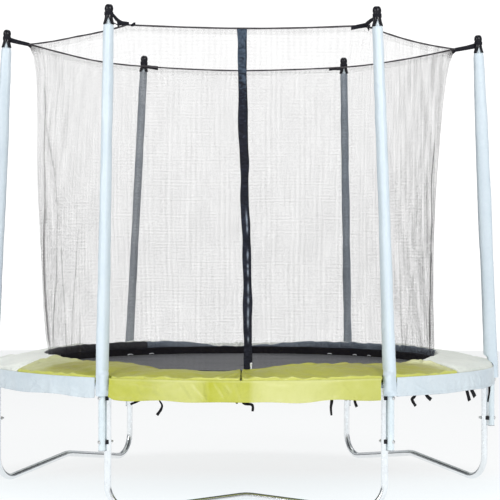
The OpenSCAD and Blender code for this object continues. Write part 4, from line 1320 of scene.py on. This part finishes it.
# zip teeth along the strip's right half
teeth = Parts()
pitch_z = 0.0034
for i in range(int((DL - 0.03) / pitch_z)):
    zc = 0.02 + i * pitch_z
    sgn = 1 if i % 2 else -1
    lo = np.array([-0.0022 + 0.0008 * sgn, -0.0034, zc - 0.0011])
    hi = np.array([0.0022 + 0.0008 * sgn, -0.0012, zc + 0.0011])
    c = [(lo[0], lo[1], lo[2]), (hi[0], lo[1], lo[2]), (hi[0], hi[1], lo[2]), (lo[0], hi[1], lo[2]),
         (lo[0], lo[1], hi[2]), (hi[0], lo[1], hi[2]), (hi[0], hi[1], hi[2]), (lo[0], hi[1], hi[2])]
    c = np.array(c) + [0.014, 0, 0]
    teeth.add(on_door(c[:, 0], c[:, 1], c[:, 2]), [(0, 3, 2, 1), (4, 5, 6, 7), (0, 1, 5, 4), (1, 2, 6, 5), (2, 3, 7, 6), (3, 0, 4, 7)])
ob = teeth.obj("zip_teeth", M_CAP, smooth_shade=False)
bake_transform(ob)

zs = Parts()
for lo, hi, bv_ in (((0.0092, -0.0052, 0.0200), (0.0188, -0.0040, 0.0340), 0.0008),
                    ((0.0092, -0.0026, 0.0200), (0.0188, -0.0017, 0.0340), 0.0004),
                    ((0.0125, -0.0045, 0.0215), (0.0155, -0.0020, 0.0325), 0.0005),
                    ((0.0128, -0.0056, 0.0230), (0.0152, -0.0046, 0.0320), 0.0004)):
    v, f = soft_box(lo, hi, bv_)
    zs.add(on_door(v[:, 0], v[:, 1], v[:, 2]), f)
ob = zs.obj("zip_slider_body", M_ZINC)
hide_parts("zip_slider")
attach(ob, "zip")
zp = Parts()
for lo, hi, bv_ in (((0.0105, -0.0070, 0.0040), (0.0175, -0.0057, 0.0215), 0.0006),
                    ((0.0112, -0.0068, 0.0215), (0.0126, -0.0058, 0.0290), 0.0004),
                    ((0.0154, -0.0068, 0.0215), (0.0168, -0.0058, 0.0290), 0.0004),
                    ((0.0112, -0.0068, 0.0276), (0.0168, -0.0058, 0.0290), 0.0004)):
    v, f = soft_box(lo, hi, bv_)
    zp.add(on_door(v[:, 0], v[:, 1], v[:, 2]), f)
ob = zp.obj("zip_pull_tab", M_WHITE)
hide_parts("zip_pull")
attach(ob, "zip")

# ------------------------------------------------------------------ mat, rings, springs
MU = 288
mr = np.concatenate([np.linspace(0.02, 0.90, 60), np.linspace(0.905, 0.985, 34)])
ma = np.arange(MU) * TAU / MU
R, A = np.meshgrid(mr, ma, indexing="ij")
x, y = R * np.cos(A), R * np.sin(A)
mw = Waves(601, 0.42, 10)
mw2 = Waves(602, 0.11, 12)
dz = (0.0010 * mw(x, y) + 0.0003 * mw2(x, y)) * (1 - smooth(R, 0.55, 0.93)) - 0.0011
dz = dz - 0.0004 * smooth(R, 0.934, 0.940)
for rr in (0.950, 0.962, 0.974):
    dz = dz - 0.0006 * np.exp(-((R - rr) / 0.0016) ** 2)
top = np.stack([x, y, MAT_Z + np.minimum(dz, 0)], -1).reshape(-1, 3)
bot = np.stack([x, y, MAT_Z - MAT_T + np.clip(dz + 0.0011, 0, 0.001)], -1).reshape(-1, 3)
nt_ = len(top)
v = np.concatenate([top, bot, [[0, 0, MAT_Z - 0.001]], [[0, 0, MAT_Z - MAT_T]]])
f = grid_faces(MU, len(mr), closed_u=True, flip=True)
f = [q[::-1] for q in f]
f += [q[::-1] for q in grid_faces(MU, len(mr), closed_u=True, start=nt_)]
for i in range(MU):
    j = (i + 1) % MU
    f.append((2 * nt_, i, j))
    f.append((2 * nt_ + 1, nt_ + j, nt_ + i))
    a = (len(mr) - 1) * MU
    f.append((a + i, nt_ + a + i, nt_ + a + j, a + j))
ob = mesh_obj("mat_disc", v, f, M_MAT)
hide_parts("mat")
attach(ob, "mat")

# pale lacing loops that tie the border's foot to the mat, made white as painted light standing for light seen through
# gaps under the border
lace_glints = Parts()
for deg, half in ((128.4, 0.017), (120.2, 0.014), (58.7, 0.013), (49.0, 0.012), (43.1, 0.011)):
    t = np.radians(deg) + np.linspace(-1, 1, 13) * half / 0.94
    h = np.linspace(-1, 1, 13)
    rr = 0.9395 - 0.0012 * (1 - h**2)
    v, f = sweep(np.stack([rr * np.cos(t), rr * np.sin(t), 0.5800 + 0.0030 * (1 - h**4)], -1), 0.0019, sides=8)
    lace_glints.add(v, f)
ob = lace_glints.obj("border_foot_lace_glints", M_WHITE)
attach(ob, "mat")

# webbing round the mat's underside: a ring; the tabs that hold the wire rings are made with the rings below
wr = np.linspace(0.9505, 0.9858, 9)
W, A = np.meshgrid(wr, np.arange(576) * TAU / 576, indexing="ij")
zlow = 0.5694 + 0.0003 * np.sin(A * 48 * 2) * smooth(W, 0.95, 0.965)
loop = np.cos(A * 48 - math.pi) * 0.5 + 0.5
v1 = np.stack([W * np.cos(A), W * np.sin(A), zlow + 0 * W], -1).reshape(-1, 3)
v2 = np.stack([W * np.cos(A), W * np.sin(A), 0 * W + 0.5728], -1).reshape(-1, 3)
v = np.concatenate([v1, v2])
n_ = 576
f = [q[::-1] for q in grid_faces(n_, 9, closed_u=True, start=0)]
f = [q[::-1] for q in f]
f += grid_faces(n_, 9, closed_u=True, flip=True, start=len(v1))
for i in range(n_):
    j = (i + 1) % n_
    f.append((i, j, len(v1) + j, len(v1) + i))
    a = 8 * n_
    f.append((a + i, len(v1) + a + i, len(v1) + a + j, a + j))
ob = mesh_obj("mat_edge_webbing", v, f, M_MATWEB)
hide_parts("mat_webbing")
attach(ob, "mat")

rings = Parts()
tabs = Parts()
for i in range(48):
    a = d2r((i + 0.5) * 7.5)
    rot = Matrix.Rotation(a, 4, "Z")
    # a triangle of bent wire with rounded corners and a butt joint in its long side
    pts = []
    for cx, cy_, r0, a0, a1 in ((0.9815, -0.0122, 0.0038, -180, -62), (1.0035, 0.0, 0.0045, -62, 62), (0.9815, 0.0122, 0.0038, 62, 180)):
        for t in np.linspace(a0, a1, 9):
            pts.append((cx + r0 * math.cos(d2r(t)), cy_ + r0 * math.sin(d2r(t)), 0.5710))
    for t in np.linspace(0, 1, 7)[1:-1]:
        pts.append((0.9777, 0.0122 * (1 - 2 * t), 0.5710))
    v, f = sweep(xf(rot, pts), 0.0016, sides=10, closed=True)
    rings.add(v, f)
    # folded tab of webbing that holds the ring's bar
    tv, tf = soft_box((0.962, -0.0105, 0.5690), (0.9822, 0.0105, 0.5697), 0.0003)
    tabs.add(xf(rot, tv), tf)
ob = rings.obj("v_ring_wires", M_WIRE)
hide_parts("v_rings")
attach(ob, "mat")
ob = tabs.obj("ring_tabs", M_MATWEB)
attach(ob, "mat")

for i in range(48):
    a = d2r((i + 0.5) * 7.5)
    pts = []
    # inner hook round the ring, coil, outer hook through the rail's hole
    for t in np.linspace(150, 350, 9):
        pts.append((1.0105 + 0.0052 * math.cos(d2r(t + 180)), 0.0, 0.5710 + 0.0052 * math.sin(d2r(t + 180)) + 0.0005))
    pts.append((1.0175, 0.0, 0.5712))
    turns, x0, x1 = 33, 1.0235, 1.1505
    m_ = turns * 10
    for j in range(m_ + 1):
        t = j / m_
        th = TAU * turns * t
        r = 0.0062 * min(1, 0.25 + 3 * t * turns / 3, 0.25 + 3 * (1 - t) * turns / 3)
        pts.append((x0 + (x1 - x0) * t, r * math.sin(th), 0.5710 + r * math.cos(th)))
    for q in ((1.158, 0, 0.5710), (1.166, 0, 0.5710), (1.173, 0, 0.5708), (1.177, 0, 0.5700), (1.1795, 0, 0.5680), (1.180, 0, 0.5650)):
        pts.append(q)
    v, f = sweep(xf(Matrix.Rotation(a, 4, "Z"), pts), 0.0017, sides=6)
    ob = mesh_obj("spring_%02d" % (i + 1), v, f, M_WIRE)
    if i == 0:
        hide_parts("springs")
    c, s = math.cos(a), math.sin(a)
    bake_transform(ob)

# ------------------------------------------------------------------ pads
PAD_NAMES = ["front_left", "front_right", "right", "back_right", "back_left", "left"]
PAD_TOP = np.array([(0.9560, 0.6060), (0.9545, 0.6240), (0.9562, 0.6400), (0.9610, 0.6472), (0.9700, 0.6500), (0.9850, 0.6503),
                    (1.030, 0.6448), (1.100, 0.6350), (1.170, 0.6200), (1.225, 0.6070), (1.239, 0.6025), (1.247, 0.5965),
                    (1.250, 0.5905), (1.2495, 0.5855)])
PAD_BOT = np.array([(0.9560, 0.6060), (0.962, 0.6062), (0.975, 0.6160), (1.050, 0.6065), (1.150, 0.5920), (1.210, 0.5845), (1.238, 0.5842),
                    (1.2495, 0.5855)])
# seams between neighbouring pads: azimuths at the inner and outer edge, pad k from SEAMS[k] to SEAMS[k + 1]
SEAMS = [(203.5, 214.3), (268.8, 268.7), (325.4, 320), (390, 390), (450, 450), (510, 510), (563.5, 574.3)]


def seam_az(i, r, gap):
    """Azimuth in degrees where the straight seam i crosses radius r, moved sideways by gap metres."""
    (a0, a1), t = SEAMS[i], np.linspace(-0.2, 1.2, 57)
    p0 = 0.955 * np.array([math.cos(d2r(a0)), math.sin(d2r(a0))])
    p1 = 1.250 * np.array([math.cos(d2r(a1)), math.sin(d2r(a1))])
    q = p0 + (p1 - p0) * t[:, None]
    az = (np.degrees(np.arctan2(q[:, 1], q[:, 0])) - a0 + 180) % 360 - 180 + a0
    return np.interp(r, np.hypot(q[:, 0], q[:, 1]), az) + np.degrees(gap / np.asarray(r))


def carve_notch(co, k, half=0.0262, depth=1.2135):
    """Moves points out of the gap round pole k, so the cover's cut edge runs round it."""
    az0 = d2r(POLE_AZ[k])
    c, s = math.cos(az0), math.sin(az0)
    x = co[:, 0] * c + co[:, 1] * s
    y = -co[:, 0] * s + co[:, 1] * c
    yc = -0.009 if k % 2 == 0 else 0.009
    inside = (x > depth) & (np.abs(y - yc) < half)
    side = np.where(y - yc >= 0, 1.0, -1.0)
    # nearest way out: back to the notch's inner wall or sideways
    to_x = x - depth
    to_y = half - np.abs(y - yc)
    use_x = inside & (to_x < to_y * 1.6)
    use_y = inside & ~use_x
    x = np.where(use_x, depth, x)
    y = np.where(use_y, yc + side * half, y)
    if k < 2:
        # the front pads' corners beside the poles are rounded off
        beside = (y - yc > 0) & (y - yc < 0.050) if k == 0 else (y - yc < 0) & (y - yc > -0.050)
        share = np.clip(np.abs(y - yc) / 0.050, 0, 1)
        lim = depth + 0.036 * smooth(share, 0.86, 1.0)
        x = np.where(beside & (x > lim), lim, x)
    out = co.copy()
    out[:, 0] = x * c - y * s
    out[:, 1] = x * s + y * c
    return out


def give_way(co):
    """The cover's outer edge bends in beside the right-hand pole, whose sleeve stands in front of it."""
    az = (np.degrees(np.arctan2(co[:, 1], co[:, 0])) + 180) % 360 - 180
    r = np.hypot(co[:, 0], co[:, 1])
    w = smooth(az, -24, -8) * (1 - smooth(az, -1.6, 1.2)) * smooth(r, 1.10, 1.22)
    out = co.copy()
    out[:, :2] *= (1 - 0.027 * w / np.maximum(r, 1e-6))[:, None]
    return out


def inner_dip(az):
    """How far the pads' inner edge sags: at the door, where people climb in, and across from it."""
    deg = np.degrees(az) % 360
    return np.interp(deg, [54, 68, 78, 86, 90, 96, 104, 113, 204, 209, 220, 226, 234, 237.4, 243.7, 250.9, 267.5, 269.5, 272, 275, 279,
                           284, 296, 306, 312, 330, 334.5, 341],
                     [0, 0.003, 0.014, 0.031, 0.034, 0.030, 0.012, 0, 0, 0.004, 0.003, 0.001, 0.002, 0.0054, 0.019, 0.033, 0.036, 0.034,
                      0.027, 0.018, 0.008, 0.001, 0.0025, 0.011, 0.014, 0.014, 0.004, 0])


# creases across the front pads: azimuth and radius of both ends, width, height
TOP_FOLDS = [
    (246.5, 1.242, 252.0, 1.215, 0.0090, -0.0040), (252.0, 1.215, 256.5, 1.244, 0.0080, -0.0034),
    (262.0, 1.200, 267.0, 1.246, 0.0080, 0.0030), (257.0, 1.100, 262.0, 1.205, 0.0120, 0.0024),
    (243.0, 1.150, 250.0, 1.080, 0.0140, 0.0024), (282.0, 1.180, 294.0, 1.230, 0.0120, 0.0022),
    (274.0, 1.228, 288.0, 1.232, 0.0080, 0.0022), (291.0, 1.060, 297.0, 1.160, 0.0120, -0.0024),
    (303.0, 1.100, 312.0, 1.180, 0.0150, 0.0020), (222.0, 1.100, 231.0, 1.190, 0.0140, 0.0022),
]


def make_pad(k):
    name = PAD_NAMES[k]
    n_az, n_top, n_bot = 140, 34, 16

    def spaced(prof, n):
        s = np.concatenate([[0], np.cumsum(np.hypot(*np.diff(prof, axis=0).T))])
        q = np.linspace(0, s[-1], n)
        return np.interp(q, s, prof[:, 0]), np.interp(q, s, prof[:, 1])

    tr, tz = spaced(PAD_TOP, n_top)
    brr, bzz = spaced(PAD_BOT, n_bot)
    loop_r = np.concatenate([tr, brr[::-1][1:-1]])
    loop_z = np.concatenate([tz, bzz[::-1][1:-1]])
    n_loop = len(loop_r)
    share = np.linspace(0, 1, n_az)
    S, RR = np.meshgrid(share, loop_r, indexing="ij")
    _, ZZ = np.meshgrid(share, loop_z, indexing="ij")
    lo_az, hi_az = seam_az(k, RR, 0.0012), seam_az(k + 1, RR, -0.0012)
    # the sewn end panels bulge a little, so the corners of each pad are rounded
    near = np.minimum(S, 1 - S) * (hi_az - lo_az) / 57.3 * RR
    edge = np.sqrt(np.clip(1 - (1 - np.clip(near / 0.016, 0, 1)) ** 2, 0, 1))
    RR = RR - 0.0070 * (1 - edge) * smooth(RR, 1.225, 1.250)
    AZ = np.radians(lo_az + (hi_az - lo_az) * S)
    mid_z = 0.5 * (np.interp(RR, *PAD_TOP[4:].T) + np.interp(RR, *PAD_BOT.T))
    ZZ = ZZ + (mid_z - ZZ) * 0.22 * (1 - edge)
    v = np.stack([RR * np.cos(AZ), RR * np.sin(AZ), ZZ], -1).reshape(-1, 3)
    f = grid_faces(n_loop, n_az, closed_u=True, flip=True)
    # ends, closed by a fan of quads across the section
    for end, row in ((0, 0), (1, n_az - 1)):
        b = row * n_loop
        m = n_loop
        i, j = 0, m - 1
        while j - i > 1:
            if j - 1 == i + 1:
                q = (b + i, b + i + 1, b + j)
            else:
                q = (b + i, b + i + 1, b + j - 1, b + j)
            f.append(q if end == 0 else q[::-1])
            i, j = i + 1, j - 1
    # painted shade: along the inner edge the faces get a dark slate copy of the pale cloth from 2 to 121 degrees, and
    # near black from 121 to 212 degrees; elsewhere they keep the top's cloth, lime on most of the front pads
    fm = np.zeros(len(f), int)
    for i in range(n_az - 1):
        deg = math.degrees(AZ[i, 0]) % 360
        for q in range(n_loop):
            low = q < 4 or q >= n_loop - 3
            if low and 2 < deg < 212:
                fm[q + i * n_loop] = 2 if deg > 121 else 1
    ob = mesh_obj("pad_cover_" + name, v, f, [M_LIME if k < 2 else M_PALE_TOP_L if k in (4, 5) else M_PALE_TOP, M_RIM_SHADE, M_DEEP_RIM_SHADE], face_mats=fm)
    rest = v.copy()
    # padded cover: the skin is cut a little large for its foam, filled, and held along its seams
    rng = np.random.RandomState(900 + k)
    jit = Waves(910 + k, 0.10, 12)
    col = np.arange(len(v)) % n_loop
    row = np.arange(len(v)) // n_loop
    topm = col < n_top
    start = v.copy()
    start[:, 2] += np.where(topm, 0.0015, -0.0008) * (1 + 0.8 * jit(v[:, 0], v[:, 1]))
    put_coords(ob, start)
    g = ob.vertex_groups.new(name="seams")
    pin = (col == 0) | (col == n_top - 1) | (row == 0) | (row == n_az - 1) | (~topm)
    half = (~pin) & ((col == 1) | (col == n_top - 2) | (row == 1) | (row == n_az - 2))
    g.add([int(i) for i in np.nonzero(pin)[0]], 1.0, "REPLACE")
    g.add([int(i) for i in np.nonzero(half)[0]], 0.35, "REPLACE")
    md = ob.modifiers.new("cover", "CLOTH")
    st = md.settings
    st.quality = 6
    st.mass = 0.35
    st.tension_stiffness = 22
    st.compression_stiffness = 22
    st.shear_stiffness = 12
    st.bending_stiffness = 0.35
    st.tension_damping = 12
    st.compression_damping = 12
    st.shear_damping = 12
    st.bending_damping = 0.8
    st.air_damping = 3
    st.vertex_group_mass = "seams"
    st.pin_stiffness = 6
    st.shrink_min = -0.035
    st.shrink_max = -0.035
    st.use_pressure = True
    st.uniform_pressure_force = 2.2
    st.effector_weights.gravity = 0
    md.collision_settings.use_collision = False
    md.collision_settings.use_self_collision = False
    md.point_cache.frame_start = 1
    md.point_cache.frame_end = 20
    for fr in range(1, 21):
        scene.frame_set(fr)
    apply_modifiers(ob)
    scene.frame_set(1)
    co = coords(ob)
    mv = co - rest
    ln = np.linalg.norm(mv, axis=1)
    ln[~np.isfinite(ln)] = 0
    cap_ = np.where(topm, 0.0075, 0.003)
    mv *= np.minimum(1, cap_ / np.maximum(ln, 1e-9))[:, None]
    mv[~np.isfinite(mv).all(1)] = 0
    v = rest + mv
    # the foam's own unevenness, and handling creases across the cover
    col = np.arange(len(v)) % n_loop
    topm = col < n_top
    R_ = np.hypot(v[:, 0], v[:, 1])
    A_ = np.arctan2(v[:, 1], v[:, 0])
    arc = A_ * 1.1
    lump = Waves(930 + k, 0.30, 10)
    soft_ = Waves(940 + k, 0.075, 14)
    inside = smooth(R_, 0.957, 0.985) * (1 - smooth(R_, 1.225, 1.246))
    dzz = (0.0022 * lump(arc, R_) + 0.0008 * soft_(arc, R_)) * inside * np.where(topm, 1, 0.3)
    rr_ = np.random.RandomState(950 + k)
    for _ in range(24):
        ac = d2r(SEAMS[k][0] + rr_.uniform(2, 64))
        rc = rr_.uniform(0.98, 1.22)
        ang = rr_.uniform(-1.1, 1.1) + (math.pi / 2 if rr_.rand() < 0.35 else 0)
        L, w, h = rr_.uniform(0.03, 0.11), rr_.uniform(0.003, 0.008), rr_.uniform(0.0008, 0.0026)
        da = ((A_ - ac + math.pi) % TAU - math.pi) * 1.1
        dr = R_ - rc
        s_ = da * math.cos(ang) + dr * math.sin(ang)
        t_ = -da * math.sin(ang) + dr * math.cos(ang) + 0.15 * s_**2 / 0.05
        dzz += (h * np.exp(-((t_ / w) ** 2)) - 0.6 * h * np.exp(-(((t_ - 1.9 * w) / (1.3 * w)) ** 2))) * np.exp(-((s_ / L) ** 2)) * inside * topm
    v[:, 2] += dzz
    # creases pressed into the front pads where they fold over the rim
    if k < 2:
        for a_, ra, b_, rb, w, h in TOP_FOLDS:
            p0, p1 = np.array([d2r(a_) * 1.1, ra]), np.array([d2r(b_) * 1.1, rb])
            d = p1 - p0
            L = np.linalg.norm(d)
            d /= L
            ar_ = (A_ % TAU) * 1.1
            s_ = (ar_ - p0[0]) * d[0] + (R_ - p0[1]) * d[1]
            q_ = -(ar_ - p0[0]) * d[1] + (R_ - p0[1]) * d[0]
            e_ = smooth(s_, -0.1 * L, 0.2 * L) * (1 - smooth(s_, 0.8 * L, 1.1 * L)) * topm
            v[:, 2] += h * e_ * (np.exp(-((q_ / w) ** 2)) - 0.5 * np.exp(-(((q_ + 1.7 * w) / (1.4 * w)) ** 2)))
    dip = inner_dip(A_) * (1 - smooth(R_, 0.965, 1.17)) * (0.5 + 0.5 * (1 - smooth(R_, 0.965, 1.07)))
    v[:, 2] -= dip
    v = carve_notch(v, k)
    v = give_way(v)
    v[:, 2] = np.maximum(v[:, 2], np.where(R_ < 1.19, 0.5815, 0.582))
    put_coords(ob, v)
    sub = ob.modifiers.new("fine", "SUBSURF")
    sub.levels = sub.render_levels = 1
    apply_modifiers(ob)
    cyl_attr(ob, 1.1)
    # tints: fading towards the slanted seams, a painted highlight along the rounded rim, painted shade near the poles
    co = coords(ob)
    deg, rad = np.degrees(np.arctan2(co[:, 1], co[:, 0])) % 360, np.hypot(co[:, 0], co[:, 1])
    fade = np.interp(deg, [203, 206, 213, 218.5, 221.5, 226, 305, 314, 317.5, 321, 325], [0.90, 0.86, 0.75, 0.60, 0.12, 0, 0, 0.13, 0.28, 0.85, 0.95])
    fade = fade * (1 - 0.75 * smooth(rad, 1.205, 1.235))
    rim_ = smooth(rad, 1.216, 1.236)
    painted_pole_shade = np.interp(deg, [219, 222, 229, 236, 242, 247, 252, 288, 293, 297, 301, 308, 313, 318, 321], [0, 0.75, 0.5, 0.35, 0.6, 0.45, 0, 0, 0.35, 0.6, 0.2, 0.4, 0.75, 0.7, 0])
    painted_pole_shade = painted_pole_shade * (1 - smooth(rad, 1.13, 1.215))
    set_attr(ob, "tints", np.stack([fade, rim_, painted_pole_shade], 1))
    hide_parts("pad_" + name)
    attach(ob, "frame")
    return ob


for k in range(6):
    make_pad(k)

# ------------------------------------------------------------------ skirts
SKIRT_NAMES = ["front", "right_front", "right_back", "back", "left_back", "left_front"]
# folds drawn on the front skirt: azimuth and height of both ends, width, height, in degrees and metres
FRONT_FOLDS = [
    (257.0, 0.592, 259.6, 0.512, 0.0060, 0.0050), (259.0, 0.590, 261.9, 0.515, 0.0058, -0.0052),
    (261.8, 0.592, 262.3, 0.512, 0.0056, 0.0062), (263.6, 0.592, 265.6, 0.520, 0.0050, -0.0048),
    (265.4, 0.580, 266.8, 0.528, 0.0045, 0.0050), (267.6, 0.590, 268.8, 0.512, 0.0042, -0.0036),
    (246.0, 0.590, 252.5, 0.572, 0.0070, -0.0052), (252.5, 0.572, 256.0, 0.590, 0.0060, -0.0046),
    (251.5, 0.570, 253.0, 0.512, 0.0080, 0.0034), (243.5, 0.570, 250.0, 0.530, 0.0090, 0.0030),
    (247.0, 0.556, 256.0, 0.530, 0.0080, 0.0026), (271.6, 0.590, 270.9, 0.514, 0.0035, 0.0036),
    (273.0, 0.588, 279.0, 0.578, 0.0060, -0.0030), (276.0, 0.585, 290.0, 0.574, 0.0090, 0.0020),
    (284.0, 0.560, 294.0, 0.546, 0.0090, 0.0018), (288.0, 0.590, 290.5, 0.530, 0.0060, 0.0020),
]
# where each skirt starts and ends
SKIRT_AZ = [(241.8, 297.5), (300.02, 359.98), (0.02, 59.98), (60.02, 119.98), (120.02, 179.98), (180.02, 239.98)]


def make_skirt(k):
    name = SKIRT_NAMES[k]
    n_az, n_z = 260, 26
    az = np.linspace(d2r(SKIRT_AZ[k][0]), d2r(SKIRT_AZ[k][1]), n_az)
    z_hem = 0.5005 if k == 0 else 0.5085
    z = np.linspace(0.5945, z_hem, n_z)
    AZ, ZZ = np.meshgrid(az, z, indexing="xy")
    t = (0.5945 - ZZ) / (0.5945 - z_hem)
    arc = AZ * 1.25
    drop = Waves(700 + k, 0.34, 10, stretch=(1, 0.25))
    fold_ = Waves(710 + k, 0.085, 14, stretch=(1, 0.35))
    tiny = Waves(720 + k, 0.024, 16, stretch=(1, 0.8))
    off = t * (0.0030 * drop(arc, ZZ) + 0.0012 * fold_(arc, ZZ)) + 0.00035 * tiny(arc, ZZ) * (0.3 + 0.7 * t)
    rng = np.random.RandomState(730 + k)
    folds = list(FRONT_FOLDS) if k == 0 else []
    for _ in range(10 if k == 0 else 22):
        c = POLE_AZ[k] + rng.uniform(2, 58)
        dx = rng.uniform(-4, 4)
        z0_ = rng.uniform(0.545, 0.592)
        folds.append((c, z0_, c + dx, z0_ - rng.uniform(0.015, 0.06), rng.uniform(0.003, 0.008), rng.uniform(-0.0018, 0.0030)))
    for a_, za, b_, zb, w, h in folds:
        if k == 0:
            w = w * 1.45
        p0, p1 = np.array([d2r(a_) * 1.25, za]), np.array([d2r(b_) * 1.25, zb])
        d = p1 - p0
        L = np.linalg.norm(d)
        d /= L
        s_ = (arc - p0[0]) * d[0] + (ZZ - p0[1]) * d[1]
        q_ = -(arc - p0[0]) * d[1] + (ZZ - p0[1]) * d[0]
        e_ = smooth(s_, -0.15 * L, 0.25 * L) * (1 - smooth(s_, 0.75 * L, 1.15 * L))
        off += h * e_ * (np.exp(-((q_ / w) ** 2)) - 0.5 * np.exp(-(((q_ + 1.7 * w) / (1.4 * w)) ** 2)))
    # the hem: a fold that stands a little proud, with a groove at its stitches
    off += 0.0009 * smooth(t, 0.84, 0.87) - 0.0007 * np.exp(-(((t - 0.855) / 0.012) ** 2))
    # the bound joint with the pad above
    off += 0.0008 * (1 - smooth(t, 0.03, 0.07)) - 0.0006 * np.exp(-(((t - 0.075) / 0.015) ** 2))
    r = 1.2518 + np.clip(off, -0.006, 0.014) * (0.25 + 0.75 * smooth(t, 0.0, 0.2))
    hemz = Waves(740 + k, 0.40, 8, dims=1)
    corner = 0 * arc
    if k == 0:
        corner = 0.010 * np.exp(-((np.degrees(AZ) - SKIRT_AZ[0][0]) / 0.75) ** 2) * t
    zz = ZZ + corner + t * ((0.0016 if k == 5 else 0.0026) * hemz(arc) + 0.0016)
    outer = np.stack([r * np.cos(AZ), r * np.sin(AZ), zz], -1).reshape(-1, 3)
    inner = np.stack([(r - 0.0012) * np.cos(AZ), (r - 0.0012) * np.sin(AZ), zz], -1).reshape(-1, 3)
    n1 = len(outer)
    v = np.concatenate([outer, inner])
    f = grid_faces(n_az, n_z, flip=True) + grid_faces(n_az, n_z, start=n1)
    for i in range(n_az - 1):
        f.append((i, n1 + i, n1 + i + 1, i + 1))
        a = (n_z - 1) * n_az + i
        f.append((a, a + 1, n1 + a + 1, n1 + a))
    for j in range(n_z - 1):
        a, b = j * n_az, (j + 1) * n_az
        f.append((a, b, n1 + b, n1 + a))
        a, b = a + n_az - 1, b + n_az - 1
        f.append((a, n1 + a, n1 + b, b))
    # cut the gaps for the two poles
    az_v = np.arctan2(v[:, 1], v[:, 0])
    keep = np.ones(len(v), bool)
    for kk in () if k == 0 else (k, (k + 1) % 6):
        az0 = d2r(POLE_AZ[kk])
        y = np.hypot(v[:, 0], v[:, 1]) * np.sin(az_v - az0) - (-0.009 if kk % 2 == 0 else 0.009)
        x = np.cos(az_v - az0)
        half = 0.0195 if (k, kk) == (1, 1) else 0.0250
        gap = (np.abs(y) < half) & (x > 0)
        # slide the end columns to the gap's edge
        side = 1.0 if kk == k else -1.0
        need = np.where(gap | ((x > 0.9) & (side * y < half)), side * half - y, 0)
        az_v = az_v + need / 1.2518
        rad = np.hypot(v[:, 0], v[:, 1])
        v[:, 0], v[:, 1] = rad * np.cos(az_v), rad * np.sin(az_v)
    v = give_way(v)
    mat_ = M_LIME_SKIRT if k == 0 else M_PALE
    ob = mesh_obj("skirt_cloth_" + name, v, f, mat_)
    cyl_attr(ob, 1.25)
    co = coords(ob)
    deg = np.degrees(np.arctan2(co[:, 1], co[:, 0])) % 360
    # painted light and shade: along the front skirt, the mix to the paler lime follows where light falls and where the
    # cloth lies in shade
    tone = np.interp(deg, [241.8, 243.3, 247, 250.2, 253.3, 256.5, 259.6, 261.0, 262.7, 265.8, 268.5, 270.2, 271.2, 274, 281.2, 285.3, 289.5, 298],
                     [0.05, 0.15, 0.25, 0.33, 0.60, 0.64, 0.68, 0.42, 0.04, 0.25, 0.20, 0.22, 0.75, 1.0, 0.95, 0.82, 0.52, 0.45])
    # the bound joint catches the light along the top
    tone = tone + 0.35 * smooth(co[:, 2], 0.5835, 0.5900) * (1 - smooth(co[:, 2], 0.5925, 0.5945))
    set_attr(ob, "tints", np.stack([tone, 0 * tone, 0 * tone], 1))
    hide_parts("skirt_" + name)
    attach(ob, "frame")


for k in range(6):
    make_skirt(k)

# ------------------------------------------------------------------ bolts and nuts
bolts, nuts = Parts(), Parts()
for k in range(6):
    az = d2r(POLE_AZ[k])
    off_az = d2r(POLE_AZ[k] + (-15 if k % 2 == 0 else 15))
    for zb in (0.315, 0.504):
        m = (Matrix.Translation((LEG_R * math.cos(az), LEG_R * math.sin(az), zb)) @ Matrix.Rotation(off_az, 4, "Z")
             @ Matrix.Rotation(math.pi / 2, 4, "Y"))
        prof = [(0, -0.030), (0.0030, -0.030), (0.0040, -0.0292)]
        zt = -0.0292
        while zt < -0.0185:
            prof += [(0.0040, zt), (0.00345, zt + 0.0005), (0.0040, zt + 0.0010)]
            zt += 0.0011
        prof += [(0.0040, -0.018), (0.0040, 0.0491), (0.0080, 0.0491), (0.0081, 0.0498), (0.0079, 0.0508), (0.0072, 0.0522),
                 (0.0058, 0.0533), (0.0036, 0.0539), (0, 0.0541)]
        v, f = lathe(prof, 32, m)
        bolts.add(v, f)
        # hexagon nut with chamfered corners, on a washer
        rings_ = []
        for r, zz in ((0.0041, -0.0242), (0.0062, -0.0242), (0.0072, -0.0236), (0.0075, -0.0230), (0.0075, -0.0184),
                      (0.0072, -0.0178), (0.0062, -0.0172), (0.0041, -0.0172)):
            a = np.arange(6) * TAU / 6 + 0.3
            rings_.append(np.stack([r * np.cos(a), r * np.sin(a), np.full(6, zz)], -1))
        nv = np.concatenate(rings_)
        nuts.add(xf(m, nv), grid_faces(6, 8, closed_u=True, closed_v=True))
        wv, wf = lathe([(0.0042, -0.0170), (0.0085, -0.0170), (0.0088, -0.0166), (0.0085, -0.0161), (0.0042, -0.0161), (0.0042, -0.0170)], 32, m)
        nuts.add(wv, wf)
ob = bolts.obj("pole_bolt_set", M_ZINC)
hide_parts("pole_bolts")
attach(ob, "frame")
ob = nuts.obj("pole_nut_set", M_ZINC, smooth_shade=False)
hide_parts("pole_nuts")
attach(ob, "frame")

# ------------------------------------------------------------------ carried-over CAD nodes
def dress(node, material, smooth_angle=30):
    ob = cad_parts[node]
    me = ob.data
    if len(me.materials) == 0:
        me.materials.append(material)
    for i in range(len(me.materials)):
        me.materials[i] = material
    return ob


for n in ("leg_front", "leg_left", "leg_right", "rail_front", "rail_right_front", "rail_right_back", "rail_back",
          "rail_left_back", "rail_left_front", "leg_sockets"):
    dress(n, M_GALV)
for k in NAMES:
    dress("pole_" + k, M_TUBE)
dress("upper_poles", M_TUBE)
dress("pole_end_plugs", M_PLUG)
dress("pole_spacers", M_CAP)
